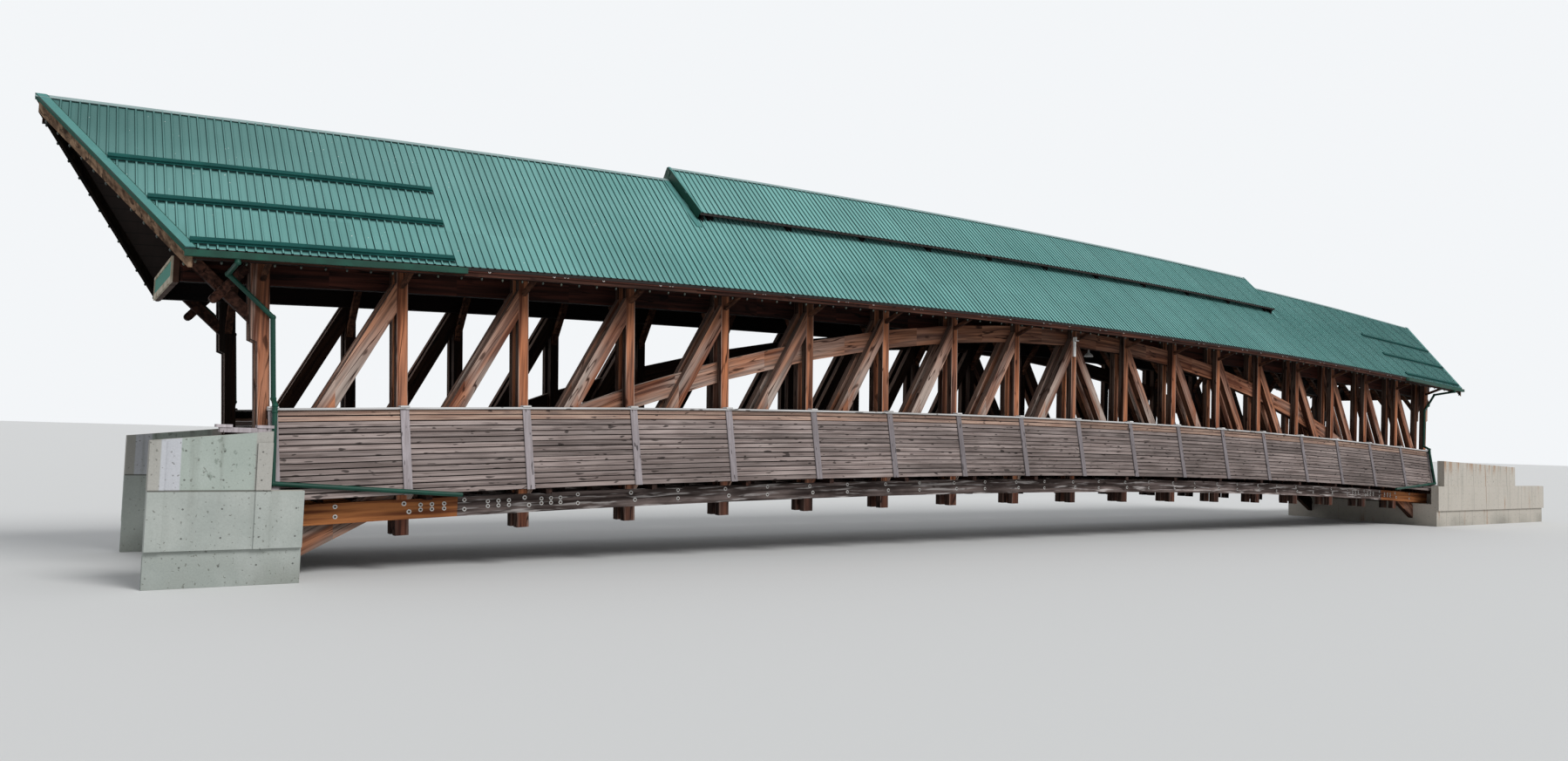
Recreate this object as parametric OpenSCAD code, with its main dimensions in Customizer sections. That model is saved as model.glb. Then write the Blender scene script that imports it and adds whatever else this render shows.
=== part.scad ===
// Covered timber footbridge, modelled at half its real size.
// Two arched kingpost trusses carry a deck, boarded skirts and a steep metal roof.
// X runs along the bridge, the near side is -Y, and Z = 0 is the deck at midspan.

/* [Span] */
// Number of truss bays, an even number
bays = 18; // [12:2:22]
// Length of one bay, post to post
bay = 1270; // [1150:10:1400]
// Drop of the whole bridge from midspan to the end posts
camber = 288; // [200:1:360]

/* [Truss] */
// Outer face of each truss from the centreline
truss_y = 1250; // [1150:1:1290]
// Thickness of the outer and the inner leaf of a truss
leaf_t = 92; // [70:1:110]
// Width of a post along the bridge
post_w = 110; // [80:1:140]
// Width of a brace, seen from the side
brace_w = 155; // [110:1:190]
// Drop below the post heads where a brace's centreline reaches the next post
brace_drop = 270; // [220:1:420]
// Height of the post heads above the deck
post_head = 2215; // [2150:1:2280]
// Distance from the deck's surface down to the top of the bottom chord
chord_drop = 190; // [160:1:220]
// Depth of the bottom chord
chord_d = 200; // [160:1:240]
// Length of bottom chord past the end posts
chord_over = 150; // [90:1:200]
// Length of the posts' feet below the bottom chord
post_foot = 160; // [100:1:220]
// Width of a post's foot along the bridge
foot_w = 136; // [100:1:170]
// Width of the top chord
top_chord_w = 110; // [80:1:140]
// Depth of the top chord
top_chord_d = 280; // [200:1:320]
// Growth of the end post's head towards the bank
jowl = 52; // [30:1:80]
// Height above the deck where that head begins
jowl_h = 1368; // [1200:1:1500]

/* [Arch] */
// Width of the arch, which fills the space between the leaves
arch_w = 94; // [80:1:120]
// Depth of each of the arch's two layers
arch_layer = 122; // [90:1:140]
// Drop of the arch's crown below the post heads
arch_drop = 75; // [40:1:160]
// Depth of the arch's springing below the deck
arch_foot = 725; // [690:1:760]

/* [Floor] */
// Thickness of the deck
deck_t = 38; // [25:1:50]
// Width of a floor joist
joist_w = 60; // [40:1:90]
// Number of floor joists in a bay
joists = 4; // [2:1:5]

/* [Skirt] */
// Height of the rail cap above the deck
rail_h = 740; // [600:1:760]
// Depth of the skirt's lower edge below the deck
skirt_drop = 128; // [100:1:150]
// Outer face of the skirt's boards below the cap
skirt_y = 1335; // [1310:1:1350]
// Distance that the lower edge stands further out
skirt_lean = 150; // [100:1:160]
// Thickness of the skirt's boards
skirt_t = 20; // [12:1:24]
// Width of a batten
batten_w = 84; // [60:1:120]
// Thickness of a batten
batten_t = 16; // [10:1:22]
// Width of the rail cap
cap_w = 96; // [80:1:110]
// Thickness of the rail cap
cap_t = 20; // [14:1:30]
// Depth of the girt that joins the skirt to the posts
girt_d = 80; // [60:1:110]
// Width of a bracket under the skirt
bracket_w = 64; // [40:1:80]
// Depth of a bracket under the skirt
bracket_d = 60; // [40:1:80]
// Distance from the end post's middle to the skirt's end
skirt_in = 25; // [10:1:50]

/* [Roof] */
// Rise of the roof from the eave to the ridge
roof_rise = 1615; // [1500:1:1750]
// Half width of the roof at the eave
eave_y = 1680; // [1640:1:1740]
// Half length of a tie beam, whose ends carry the rafters
tie_y = 1320; // [1290:1:1380]
// Length of the roof past the end posts, at the ridge
ridge_over = 1970; // [1600:1:2200]
// Length of the roof past the end posts, at the eave
eave_over = 800; // [600:1:900]
// Thickness of the roof, with its strapping
roof_t = 36; // [24:1:50]
// Depth of a rafter
rafter_d = 105; // [80:1:130]
// Width of a rafter
rafter_w = 76; // [50:1:100]
// Width of the ridge beam
ridge_beam_w = 76; // [50:1:100]
// Depth of the ridge beam
ridge_beam_d = 200; // [140:1:260]
// Depth of a tie beam
tie_d = 150; // [120:1:170]
// Thickness of the board along the sloping roof ends
fascia_t = 34; // [20:1:60]
// Depth of that board
fascia_d = 135; // [100:1:180]
// Width of the eave purlin
purlin_w = 80; // [60:1:100]
// Depth of the eave purlin
purlin_d = 75; // [60:1:110]
// Drop below the top chords where the inner knee braces leave the posts
knee_drop = 285; // [240:1:330]
// Drop below the post heads where the eave struts leave the posts
strut_drop = 250; // [200:1:300]
// Distance from the eave's edge in to the eave purlin
purlin_in = 20; // [10:1:60]
// Width of an eave strut
strut_w = 45; // [35:1:70]
// Width of an inner knee brace
knee_w = 70; // [50:1:90]
// Length of the top chords past the end posts
head_over = 655; // [560:1:700]

/* [Raised ridge roof] */
// Half length of the raised roof along its ridge
cap_half = 6600; // [5600:10:7400]
// Distance that its eave's end stands back from the ridge's end
cap_rake = 100; // [60:1:200]
// Half width of the raised roof
cap_y = 730; // [640:1:820]
// Height of the raised roof above the main roof
cap_lift = 155; // [130:1:200]
// Thickness of the raised roof
cap_roof_t = 34; // [24:1:50]

/* [Roof trim] */
// Length of the snow stops from the end posts in towards midspan
stop_in = 1580; // [1200:10:2000]
// Width of a snow stop
stop_w = 40; // [30:1:60]
// Height of a snow stop
stop_t = 28; // [14:1:40]
// Distances of the snow stops from the ridge, on plan
stop_y = [690, 1135, 1585];
// Width of the ridge flashing on each slope
flashing_w = 120; // [80:1:160]
// Thickness of the flashings
flashing_t = 5; // [3:1:10]
// Size of the gutter's section
gutter_w = 58; // [40:1:80]
// Wall of the gutter
gutter_t = 5; // [3:1:8]
// Length of a gutter from the end of the eave
gutter_l = 2490; // [1800:10:3000]
// Diameter of a downspout
spout_d = 46; // [30:1:56]
// Distance from the end post out to the gutter's outlet
spout_out = 380; // [300:1:500]
// Drop of the short pipe under that outlet
spout_drop = 35; // [20:1:60]
// Height above the deck where a downspout meets the end post
spout_h = 1600; // [1500:1:1750]
// Spacing of the bends over the rail cap
spout_bend = 60; // [50:1:90]
// Length of a downspout's run along the skirt's foot
spout_run = 1800; // [1200:10:2400]

/* [Portals] */
// Height of the sign board
sign_h = 245; // [200:1:320]
// Drop of the sign board's top below the top of the top chords
sign_drop = 50; // [0:1:90]
// Thickness of the sign board
sign_t = 50; // [30:1:80]
// Half length of the sign board
sign_y = 970; // [900:1:1100]
// Width of a portal's knee brace
portal_w = 105; // [80:1:130]
// Reach of that brace from the post towards the bank
portal_run = 480; // [420:1:520]
// Width of the crossing brace
cross_w = 85; // [60:1:110]
// Length of the crossing brace's free tail
tail = 190; // [120:1:280]

/* [Abutments] */
// Depth of the abutments' feet below the deck at midspan
foot = 1150; // [1100:1:1300]
// Front face of each abutment, from the end posts towards midspan
seat_in = 285; // [220:1:400]
// Thickness of the backwall
backwall_t = 200; // [150:1:260]
// Gap between the ends of the chords and the backwall
backwall_gap = 30; // [10:1:60]
// Outer face of the wing walls from the centreline
wing_y = 1675; // [1650:1:1750]
// Thickness of the wing walls
wing_t = 148; // [120:1:155]
// Depth of the lower wing walls' top below the deck at midspan
wing_top = 300; // [260:1:340]
// Length of the left wing walls, from the end posts
left_wing = 970; // [800:1:1400]
// Length of the right parapets, from the end posts
right_parapet = 3520; // [2600:10:4000]
// Length of the right lower walls, from the end posts
right_wing = 5070; // [4200:10:5600]
// Height of the parapet above the lower wall, at the bridge
parapet_h = 540; // [450:1:600]
// Height of the parapet above the lower wall, at its far end
parapet_end_h = 435; // [350:1:500]
// Step by which the parapet stands back from the lower wall
parapet_step = 10; // [4:1:20]
// Width of the pilasters at the ends of a left wing wall
pilaster_w = 125; // [80:1:180]
// Projection of those pilasters
pilaster_t = 12; // [4:1:24]
// Height of the footing course
footing_h = 330; // [200:1:340]
// Step by which the footing course stands back
footing_step = 40; // [20:1:60]

/* [Lamps] */
// Diameter of a pendant lamp's shade
lamp_d = 150; // [100:1:200]
// Drop of the shade's lower edge below the tie beam
lamp_drop = 370; // [250:1:450]
// Distance from a lamp's middle out to the end of a knee brace
lamp_gap = 46; // [30:1:120]

/* [Hidden] */
seat = 0.3;
half = bays * bay / 2;
bend = camber / (half * half);
timber = [0.45, 0.27, 0.19];
weathered = [0.50, 0.45, 0.42];
concrete = [0.66, 0.68, 0.65];
green = [0.19, 0.46, 0.39];

// Levels above the deck
brace_head = post_head - brace_drop;
arch_crown = post_head - arch_drop;
chord_top = -chord_drop;
chord_base = chord_top - chord_d;
tie_top = post_head + tie_d;
top_chord_base = post_head - top_chord_d;
knee_h = top_chord_base - knee_drop;

// Faces across the bridge
inner_y = truss_y - 2 * leaf_t - arch_w - 2 * seat;
skirt_end = half - skirt_in;
leaf_faces = [inner_y, truss_y - leaf_t];
arch_y = inner_y + leaf_t + seat;
knee_rise = post_head - knee_h - seat;
knee_run = knee_rise * 0.7;
knee_end = inner_y - seat - knee_run - knee_w / 2 * norm([knee_run, knee_rise]) / knee_rise;
board_slope = skirt_lean / (rail_h - cap_t + skirt_drop);

// Roof surfaces, from the rafters that rest on the ends of the tie beams
slope = roof_rise / eave_y;
rafter_base = tie_top + seat + slope * tie_y;
ridge_h = rafter_base + rafter_d + roof_t;
eave_h = ridge_h - roof_rise;
raised_top = ridge_h + cap_lift;
purlin_outer = eave_y - purlin_in;
purlin_inner = purlin_outer - purlin_w;
purlin_base = ridge_h - roof_t - slope * purlin_outer - purlin_d;
ridge_end = half + ridge_over;
eave_end = half + eave_over;

// Eave struts end on the purlin, and a rafter stops where its underside meets a strut
strut_h = post_head - strut_drop;
strut_end = purlin_inner - seat;
strut_end_h = purlin_base + strut_w / 2;
strut_grade = (strut_end_h - strut_h) / (strut_end - truss_y - seat);
strut_rise = strut_h - strut_grade * truss_y + strut_w / 2 * norm([1, strut_grade]) + 2 * seat;
rafter_end = min(strut_end, (rafter_base - seat - strut_rise) / (slope + strut_grade));

// Abutment faces along the bridge
face_x = half - seat_in;
chord_end = half + chord_over;
backwall_x = chord_end + backwall_gap;

// Stations of the posts, and the two ends of a piece that fills one bay
function station(i) = -half + i * bay;
function bay_start(i, end = half) = i == 0 ? -end : station(i) + seat / 2;
function bay_end(i, end = half) = i == bays - 1 ? end : station(i + 1) - seat / 2;

// Braces rise this much for each step along the bridge, and reach this far along the chord
brace_rise = (brace_head - chord_top) / bay;
brace_reach = brace_w / 2 * sqrt(1 + 1 / (brace_rise * brace_rise));
brace_clear = brace_reach + (chord_drop - deck_t) / brace_rise + seat;

// A point s along the deck's curve and h above it, with members square to the curve
function on_curve(s, h) = [s * (1 + 2 * bend * h), h - bend * s * s];
function fall(x) = -bend * x * x;

// The deck lies this much above the curve away from the posts
function lift(s) = bend * pow(s - min(max(round(s / bay) * bay, -half), half), 2);

// A chord is straight from joint to joint, so what lies on it in bay i sits lower by this much
function sag(s, i) = bend * (s - (i == 0 ? -chord_end : station(i))) * (station(i + 1) - s);

function fall_slope(x0, x1) = -bend * (x0 + x1);

module at_far() { children(); }
module at_near() { mirror([0, 1, 0]) children(); }
module both_sides() { at_far() children(); at_near() children(); }
module both_ends() { children(); mirror([1, 0, 0]) children(); }

// An outline in X and Z, given thickness from y0 to y1
module side_plate(y0, y1, points) {
    translate([0, y1, 0]) rotate([90, 0, 0]) linear_extrude(height = y1 - y0) polygon(points);
}

// A straight timber that follows the curve from s0 to s1, between two heights
module curved_bar(s0, s1, h0, h1, y0, y1) {
    side_plate(y0, y1, [on_curve(s0, h0), on_curve(s1, h0), on_curve(s1, h1), on_curve(s0, h1)]);
}

// A plan outline laid on the far slope of a roof whose ridge has height top_h
module on_slope(plan, x0, x1, top_h, t) {
    a = fall_slope(x0, x1);
    multmatrix([
        [1, 0, 0, 0],
        [0, 1, 0, 0],
        [a, -slope, 1, top_h - t + fall(x0) - a * x0],
        [0, 0, 0, 1]
    ]) linear_extrude(height = t) polygon(plan);
}

module slope_bar(x0, x1, y0, y1, top_h, t) {
    on_slope([[x0, y0], [x1, y0], [x1, y1], [x0, y1]], x0, x1, top_h, t);
}

// A straight round bar between two points
module round_bar(a, b, d) {
    v = b - a;
    translate(a) rotate([0, acos(v[2] / norm(v)), atan2(v[1], v[0])]) cylinder(d = d, h = norm(v), $fn = 24);
}

// Trusses

module bottom_chord() {
    color(weathered) for (y = leaf_faces, i = [0 : bays - 1]) {
        curved_bar(bay_start(i, chord_end), bay_end(i, chord_end), chord_base, chord_top, y, y + leaf_t);
    }
}

module post(s, y) {
    w = post_w / 2;
    curved_bar(s - w, s + w, chord_top, post_head, y, y + leaf_t);
}

// The first post's head grows towards the bank under a sloping shoulder
module end_post(y) {
    w = post_w / 2;
    side_plate(y, y + leaf_t, [
        on_curve(-half - w, chord_top), on_curve(-half + w, chord_top),
        on_curve(-half + w, post_head), on_curve(-half - w - jowl, post_head),
        on_curve(-half - w - jowl, jowl_h + jowl / 2), on_curve(-half - w, jowl_h)
    ]);
}

module posts() {
    color(timber) for (y = leaf_faces) {
        for (i = [1 : bays - 1]) post(station(i), y);
        both_ends() end_post(y);
    }
}

// The feet are the posts' lower ends, which pass the chord and hang below it
module post_feet() {
    w = foot_w / 2;
    color(timber) for (y = leaf_faces, i = [1 : bays - 1]) {
        curved_bar(station(i) - w, station(i) + w, chord_base - post_foot, chord_base - seat, y, y + leaf_t);
    }
}

// One brace rises from the foot of a post to the head of the next one towards midspan
module brace(s, y) {
    w = post_w / 2 + seat;
    side_plate(y, y + leaf_t, [
        on_curve(s + brace_reach, chord_top),
        on_curve(s + bay - w, chord_top + (bay - w - brace_reach) * brace_rise),
        on_curve(s + bay - w, chord_top + (bay - w + brace_reach) * brace_rise),
        on_curve(s + w, chord_top + (w + brace_reach) * brace_rise),
        on_curve(s + w, chord_top)
    ]);
}

module braces() {
    color(timber) for (y = leaf_faces) {
        both_ends() for (i = [0 : bays / 2 - 1]) brace(station(i), y);
    }
}

// The arch is a part of a circle in two layers, jointed at each post
module arch() {
    rise = arch_crown + arch_foot;
    radius = (face_x * face_x + rise * rise) / (2 * rise);
    centre = arch_crown - radius;
    color(timber) for (layer = [0, 1]) {
        outer = radius - layer * (arch_layer + seat);
        inner = outer - arch_layer;
        for (i = [0 : bays - 1]) {
            x0 = bay_start(i, face_x - seat);
            x1 = bay_end(i, face_x - seat);
            side_plate(arch_y, arch_y + arch_w, [
                [x0, arch_z(inner, centre, x0)], [x1, arch_z(inner, centre, x1)],
                [x1, arch_z(outer, centre, x1)], [x0, arch_z(outer, centre, x0)]
            ]);
        }
    }
}
function arch_z(r, centre, x) = centre + sqrt(r * r - x * x);

module top_chord() {
    end = half + head_over;
    color(timber) for (i = [0 : bays - 1]) {
        curved_bar(bay_start(i, end), bay_end(i, end), top_chord_base, post_head,
            inner_y - top_chord_w, inner_y);
    }
}

// Floor

// Joists lie on the inner leaves of the bottom chords, clear of the braces' feet
module floor_joists() {
    reach = inner_y + leaf_t - seat;
    first = brace_clear + joist_w / 2;
    last = bay - post_w / 2 - joist_w / 2 - seat;
    color(timber) both_ends() for (i = [0 : bays / 2 - 1], k = [0 : joists - 1]) {
        s = station(i) + first + k * (last - first) / (joists - 1);
        curved_bar(s - joist_w / 2, s + joist_w / 2, chord_top - sag(s, i) + seat,
            lift(s) - deck_t - seat, -reach, reach);
    }
}

// Each length of deck is straight and touches the curve at its middle, over a post
module deck() {
    w = inner_y - seat;
    color(weathered) for (i = [0 : bays]) {
        s0 = i == 0 ? -chord_end : station(i) - bay / 2 + seat / 2;
        s1 = i == bays ? chord_end : station(i) + bay / 2 - seat / 2;
        side_plate(-w, w, [
            on_curve(s0, -deck_t) + [0, lift(s0)], on_curve(s1, -deck_t) + [0, lift(s1)],
            on_curve(s1, 0) + [0, lift(s1)], on_curve(s0, 0) + [0, lift(s0)]
        ]);
    }
}

// Skirts and rails

// A bar that follows the curve and leans out as it goes down, y being its inner face at h1
module leaning_bar(s0, s1, h0, h1, y, t) {
    a = on_curve(s0, h1);
    b = on_curve(s1, h1);
    grade = (b[1] - a[1]) / (b[0] - a[0]);
    multmatrix([
        [1, 0, 0, 0],
        [board_slope * grade, 1, -board_slope, board_slope * (a[1] - grade * a[0])],
        [0, 0, 1, 0],
        [0, 0, 0, 1]
    ]) curved_bar(s0, s1, h0, h1, y, y + t);
}

module skirt() {
    color(weathered) for (i = [0 : bays - 1]) {
        leaning_bar(bay_start(i, skirt_end), bay_end(i, skirt_end), -skirt_drop,
            rail_h - cap_t - seat, skirt_y - skirt_t, skirt_t);
    }
}

module skirt_batten() {
    w = batten_w / 2;
    color(weathered) for (i = [0 : bays]) {
        s = min(max(station(i), -skirt_end + w), skirt_end - w);
        leaning_bar(s - w, s + w, -skirt_drop, rail_h - cap_t - seat, skirt_y + seat, batten_t);
    }
}

module rail_cap() {
    outer = skirt_y + batten_t + (cap_w - skirt_t - batten_t) / 4;
    color(weathered) for (i = [0 : bays - 1]) {
        curved_bar(bay_start(i, skirt_end), bay_end(i, skirt_end), rail_h - cap_t, rail_h,
            outer - cap_w, outer);
    }
}

// The girt is bolted to the outer leaf and backs the top of the skirt
module rail_girt() {
    color(timber) for (i = [0 : bays - 1]) {
        curved_bar(bay_start(i, skirt_end), bay_end(i, skirt_end), rail_h - cap_t - girt_d,
            rail_h - cap_t - seat, truss_y + seat, skirt_y - skirt_t - seat);
    }
}

// Brackets on the outer leaf of the bottom chord hold the skirt's lower edge
module skirt_bracket() {
    reach = skirt_y - skirt_t + board_slope * (rail_h - cap_t - chord_top - bracket_d) - 2 * seat;
    first = brace_clear + bracket_w / 2;
    color(timber) both_ends() for (i = [0 : bays / 2 - 1]) {
        s = station(i) + first;
        h = chord_top + seat - sag(s, i);
        curved_bar(s - bracket_w / 2, s + bracket_w / 2, h, h + bracket_d, truss_y - leaf_t, reach);
    }
}

// Roof frame

module tie_beams() {
    w = post_w / 2;
    color(timber) for (i = [0 : bays]) {
        curved_bar(station(i) - w, station(i) + w, post_head, tie_top, -tie_y, tie_y);
    }
}

// A bar in a plane across the bridge, from (y0, h0) at an upright cut to (y1, h1)
module cross_strut(s, w, y0, h0, y1, h1, d, level_end) {
    p = on_curve(s, (h0 + h1) / 2);
    v = [y1 - y0, h1 - h0];
    up = d / 2 * norm(v) / abs(v[0]);
    along = d / 2 * norm(v) / v[1] * sign(v[0]);
    ends = level_end ? [[y1 + along, h1], [y1 - along, h1]] : [[y1, h1 - up], [y1, h1 + up]];
    translate([p[0] - w / 2, 0, fall(s)]) rotate([90, 0, 90]) linear_extrude(height = w)
        polygon(concat([[y0, h0 - up]], ends, [[y0, h0 + up]]));
}

// Knee braces run from the inner leaves up to the tie beams
module knee_brace() {
    face = inner_y - seat;
    color(timber) for (i = [0 : bays]) {
        cross_strut(station(i), knee_w, face, knee_h, face - knee_run, knee_h + knee_rise, knee_w, true);
    }
}

// Struts run from the posts' outer faces out to the eave purlins
module eave_strut() {
    color(timber) for (i = [0 : bays]) {
        cross_strut(station(i), strut_w, truss_y + seat, strut_h, strut_end, strut_end_h, strut_w, false);
    }
}

// A section in Y and Z, run from x0 to x1 along the roof's straight fall between two stations
module along_roof(x0, x1, from, to, section) {
    a = fall_slope(from, to);
    multmatrix([
        [0, 0, 1, x0],
        [1, 0, 0, 0],
        [0, 1, a, fall(from) + a * (x0 - from)],
        [0, 0, 0, 1]
    ]) linear_extrude(height = x1 - x0) polygon(section);
}

// The purlin stands upright, with its top bevelled to the roof
module eave_purlin() {
    under = ridge_h - roof_t - seat;
    section = [
        [purlin_inner, purlin_base], [purlin_outer, purlin_base],
        [purlin_outer, under - slope * purlin_outer], [purlin_inner, under - slope * purlin_inner]
    ];
    color(timber) {
        for (i = [0 : bays - 1]) {
            x0 = bay_start(i, half - seat);
            x1 = bay_end(i, half - seat);
            along_roof(x0, x1, x0, x1, section);
        }
        both_ends() along_roof(half, eave_end - fascia_t * 2 - seat, half, ridge_end, section);
    }
}

module rafter() {
    w = rafter_w / 2;
    color(timber) for (i = [0 : bays]) {
        x = on_curve(station(i), tie_top)[0];
        slope_bar(x - w, x + w, ridge_beam_w / 2 + seat, rafter_end, ridge_h - roof_t - seat, rafter_d);
    }
}

module ridge_beam() {
    top = ridge_h - roof_t - slope * ridge_beam_w / 2 - seat;
    end = ridge_end - 2 * fascia_t - seat;
    w = ridge_beam_w / 2;
    color(timber) {
        for (i = [0 : bays - 1]) {
            level_bar(bay_start(i, half - seat), bay_end(i, half - seat), top - ridge_beam_d, top, -w, w);
        }
        both_ends() level_bar(half, end, top - ridge_beam_d, top, -w, w);
    }
}

// A bar that follows the roof's curve, with upright ends
module level_bar(x0, x1, h0, h1, y0, y1) {
    side_plate(y0, y1, [[x0, h0 + fall(x0)], [x1, h0 + fall(x1)], [x1, h1 + fall(x1)], [x0, h1 + fall(x0)]]);
}

// Roof

// Each slope is flat over one bay, and the last panel is cut along the prow
module roof_slope() {
    color(green) {
        for (i = [0 : bays - 1]) {
            slope_bar(bay_start(i, half - seat), bay_end(i, half - seat), 0, eave_y, ridge_h, roof_t);
        }
        both_ends() on_slope([[half, 0], [ridge_end, 0], [eave_end, eave_y], [half, eave_y]],
            half, ridge_end, ridge_h, roof_t);
    }
}

// Whole bays under the raised roof on each side of midspan
raised_bays = floor((cap_half - cap_rake) / bay);
raised_last = raised_bays * bay;

module raised_slope() {
    color(green) {
        for (i = [-raised_bays : raised_bays - 1]) {
            slope_bar(i * bay + seat / 2, (i + 1) * bay - seat / 2, seat, cap_y, raised_top, cap_roof_t);
        }
        both_ends() on_slope([[raised_last, seat], [cap_half, seat],
            [cap_half - cap_rake, cap_y], [raised_last, cap_y]],
            raised_last, cap_half, raised_top, cap_roof_t);
    }
}

// Rafters on the main roof carry the raised one, and a strip closes each end
module raised_rafter() {
    w = rafter_w / 2;
    t = cap_lift - cap_roof_t - 2 * seat;
    top = raised_top - cap_roof_t - seat;
    strip = cap_half - fascia_t;
    color(timber) {
        for (i = [-raised_bays : raised_bays]) {
            x = i * bay - sign(i) * (abs(i) == raised_bays ? w + seat : 0);
            slope_bar(x - w, x + w, seat, cap_y - rafter_w, top, t);
        }
        both_ends() on_slope([[strip - fascia_t, seat], [strip, seat],
            [strip - cap_rake, cap_y - stop_w], [strip - cap_rake - fascia_t, cap_y - stop_w]],
            raised_last, cap_half, top, t);
    }
}

// Flashing over both ridges
module flashing_strip(x0, x1, top) {
    slope_bar(x0 + seat / 2, x1 - seat / 2, seat, flashing_w, top + flashing_t + seat, flashing_t);
}

module ridge_flashing() {
    start = cap_half + fascia_t;
    next = ceil(start / bay);
    color(green) both_sides() {
        both_ends() {
            if (next * bay > start) flashing_strip(start, next * bay, ridge_h);
            for (i = [next : 1 : bays / 2 - 1]) flashing_strip(i * bay, (i + 1) * bay, ridge_h);
            flashing_strip(half, ridge_end, ridge_h);
            flashing_strip(raised_last, cap_half, raised_top);
        }
        for (i = [-raised_bays : raised_bays - 1]) flashing_strip(i * bay, (i + 1) * bay, raised_top);
    }
}

// A board under the sloping edge of each prow
module rake_board() {
    lean = (ridge_end - eave_end) / eave_y;
    end = eave_y - seat;
    color(timber) both_ends() on_slope([
        [ridge_end - 2 * fascia_t, seat], [ridge_end - fascia_t, seat],
        [ridge_end - fascia_t - lean * end, end], [ridge_end - 2 * fascia_t - lean * end, end]
    ], half, ridge_end, ridge_h - roof_t - seat, fascia_d);
}

module snow_stops_one_slope() {
    lean = (ridge_end - eave_end) / eave_y;
    top = ridge_h + stop_t + seat;
    whole = ceil(stop_in / bay);
    color(green) both_ends() for (y = stop_y) {
        outer = ridge_end - lean * (y + stop_w) - fascia_t;
        for (k = [1 : whole]) {
            x0 = max(half - k * bay, half - stop_in);
            x1 = half - (k - 1) * bay - seat;
            on_slope([[x0, y], [x1, y], [x1, y + stop_w], [x0, y + stop_w]],
                half - k * bay, half - (k - 1) * bay, top, stop_t);
        }
        on_slope([[half, y], [outer, y], [outer, y + stop_w], [half, y + stop_w]],
            half, ridge_end, top, stop_t);
    }
}

// A square trough hung along the end of an eave
module gutter() {
    x1 = eave_end;
    x0 = eave_end - gutter_l;
    y0 = eave_y + seat;
    y1 = y0 + gutter_w;
    top = eave_h - roof_t / 2;
    base = top - gutter_w;
    t = gutter_t;
    color(green) both_ends() along_roof(x0, x1, x0, x1, [
        [y0, base], [y1, base], [y1, top], [y1 - t, top],
        [y1 - t, base + t], [y0 + t, base + t], [y0 + t, top], [y0, top]
    ]);
}

// The pipe leaves the gutter, runs in to the end post, down over the skirt and along its foot
module downspout() {
    r = spout_d / 2;
    s = half - post_w / 2 - r;
    out = half + spout_out;
    head = on_curve(s, spout_h);
    rail = on_curve(s, rail_h);
    x = rail[0];
    low = -wing_top + spout_d * 1.2;
    y_eave = eave_y + gutter_w / 2;
    y_post = truss_y + r + seat;
    y_cap = skirt_y + batten_t + (cap_w - skirt_t - batten_t) / 4 + r + seat;
    y_low = skirt_face(low - fall(half)) + r;
    end = half - spout_run;
    h_end = -skirt_drop - r;
    gutter_base = eave_h - roof_t / 2 - gutter_w + fall(out);
    path = [
        [out, y_eave, gutter_base - seat],
        [out, y_eave, gutter_base - spout_drop],
        [out + r, y_post + r, gutter_base - spout_drop - spout_bend],
        [head[0], y_post, head[1]],
        [x, y_post, rail[1] + spout_bend * 1.5],
        [x, y_cap, rail[1] + spout_bend * 0.4],
        [x, y_cap, rail[1] - spout_bend * 0.6],
        [x, y_low, low],
        [end, skirt_face(h_end) + r, h_end + fall(end)]
    ];
    color(green) both_ends() {
        for (i = [0 : len(path) - 2]) round_bar(path[i], path[i + 1], spout_d);
        for (i = [1 : len(path) - 2]) translate(path[i]) sphere(d = spout_d + 10, $fn = 24);
    }
}
function skirt_face(h) = skirt_y + batten_t + 2 * seat + board_slope * (rail_h - cap_t - h);

// Portals

// A knee brace rises from the jowled post past the top chord's end, and a brace with a free,
// rounded tail crosses it
module portal_brace() {
    left = half + post_w / 2 + jowl + seat;
    knee_low = jowl_h + 4 * jowl;
    knee_grade = 1.05;
    knee_up = portal_w * norm([1, knee_grade]);
    cross_grade = 1.1;
    cross_up = cross_w * norm([1, cross_grade]);
    cross_high = post_head - cross_up / 2;
    meet = (cross_high - cross_up / 2 - knee_low - knee_up / 2) / (knee_grade + cross_grade);
    run = meet + tail / norm([1, cross_grade]) - cross_w / 2;
    tip = [left + run, cross_high - cross_up / 2 - cross_grade * run];
    turn = atan(cross_grade);
    color(timber) both_ends() {
        bent_plate(inner_y + seat, inner_y + leaf_t, [
            [left, knee_low], [left + portal_run, knee_low + knee_grade * portal_run],
            [left + portal_run, knee_low + knee_grade * portal_run + knee_up], [left, knee_low + knee_up]
        ]);
        bent_plate(inner_y + leaf_t + seat, inner_y + leaf_t + cross_w, concat(
            [[left, cross_high], [left, cross_high - cross_up]],
            [for (a = [-90 : 30 : 90]) tip + cross_w / 2 * [cos(a - turn), sin(a - turn)]]
        ));
    }
}

// An outline given as distances along the curve and heights above the deck
module bent_plate(y0, y1, points) {
    side_plate(y0, y1, [for (p = points) on_curve(p[0], p[1])]);
}

// A board across each portal, on the ends of the top chords
module sign_boards() {
    top = on_curve(half + head_over, post_head - sign_drop);
    color(weathered) both_ends() translate([top[0] + seat, -sign_y, top[1] - sign_h])
        cube([sign_t, 2 * sign_y, sign_h]);
}

module lamps() {
    s = bay;
    p = on_curve(s, post_head);
    y = lamp_gap - knee_end;
    color("white") translate([p[0], y, p[1] - seat]) {
        translate([0, 0, -lamp_drop]) cylinder(d1 = lamp_d, d2 = lamp_d / 4, h = lamp_d / 2);
        translate([0, 0, -lamp_drop + lamp_d / 2]) cylinder(d = lamp_d / 10, h = lamp_drop - lamp_d / 2);
    }
}

// Abutments

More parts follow.
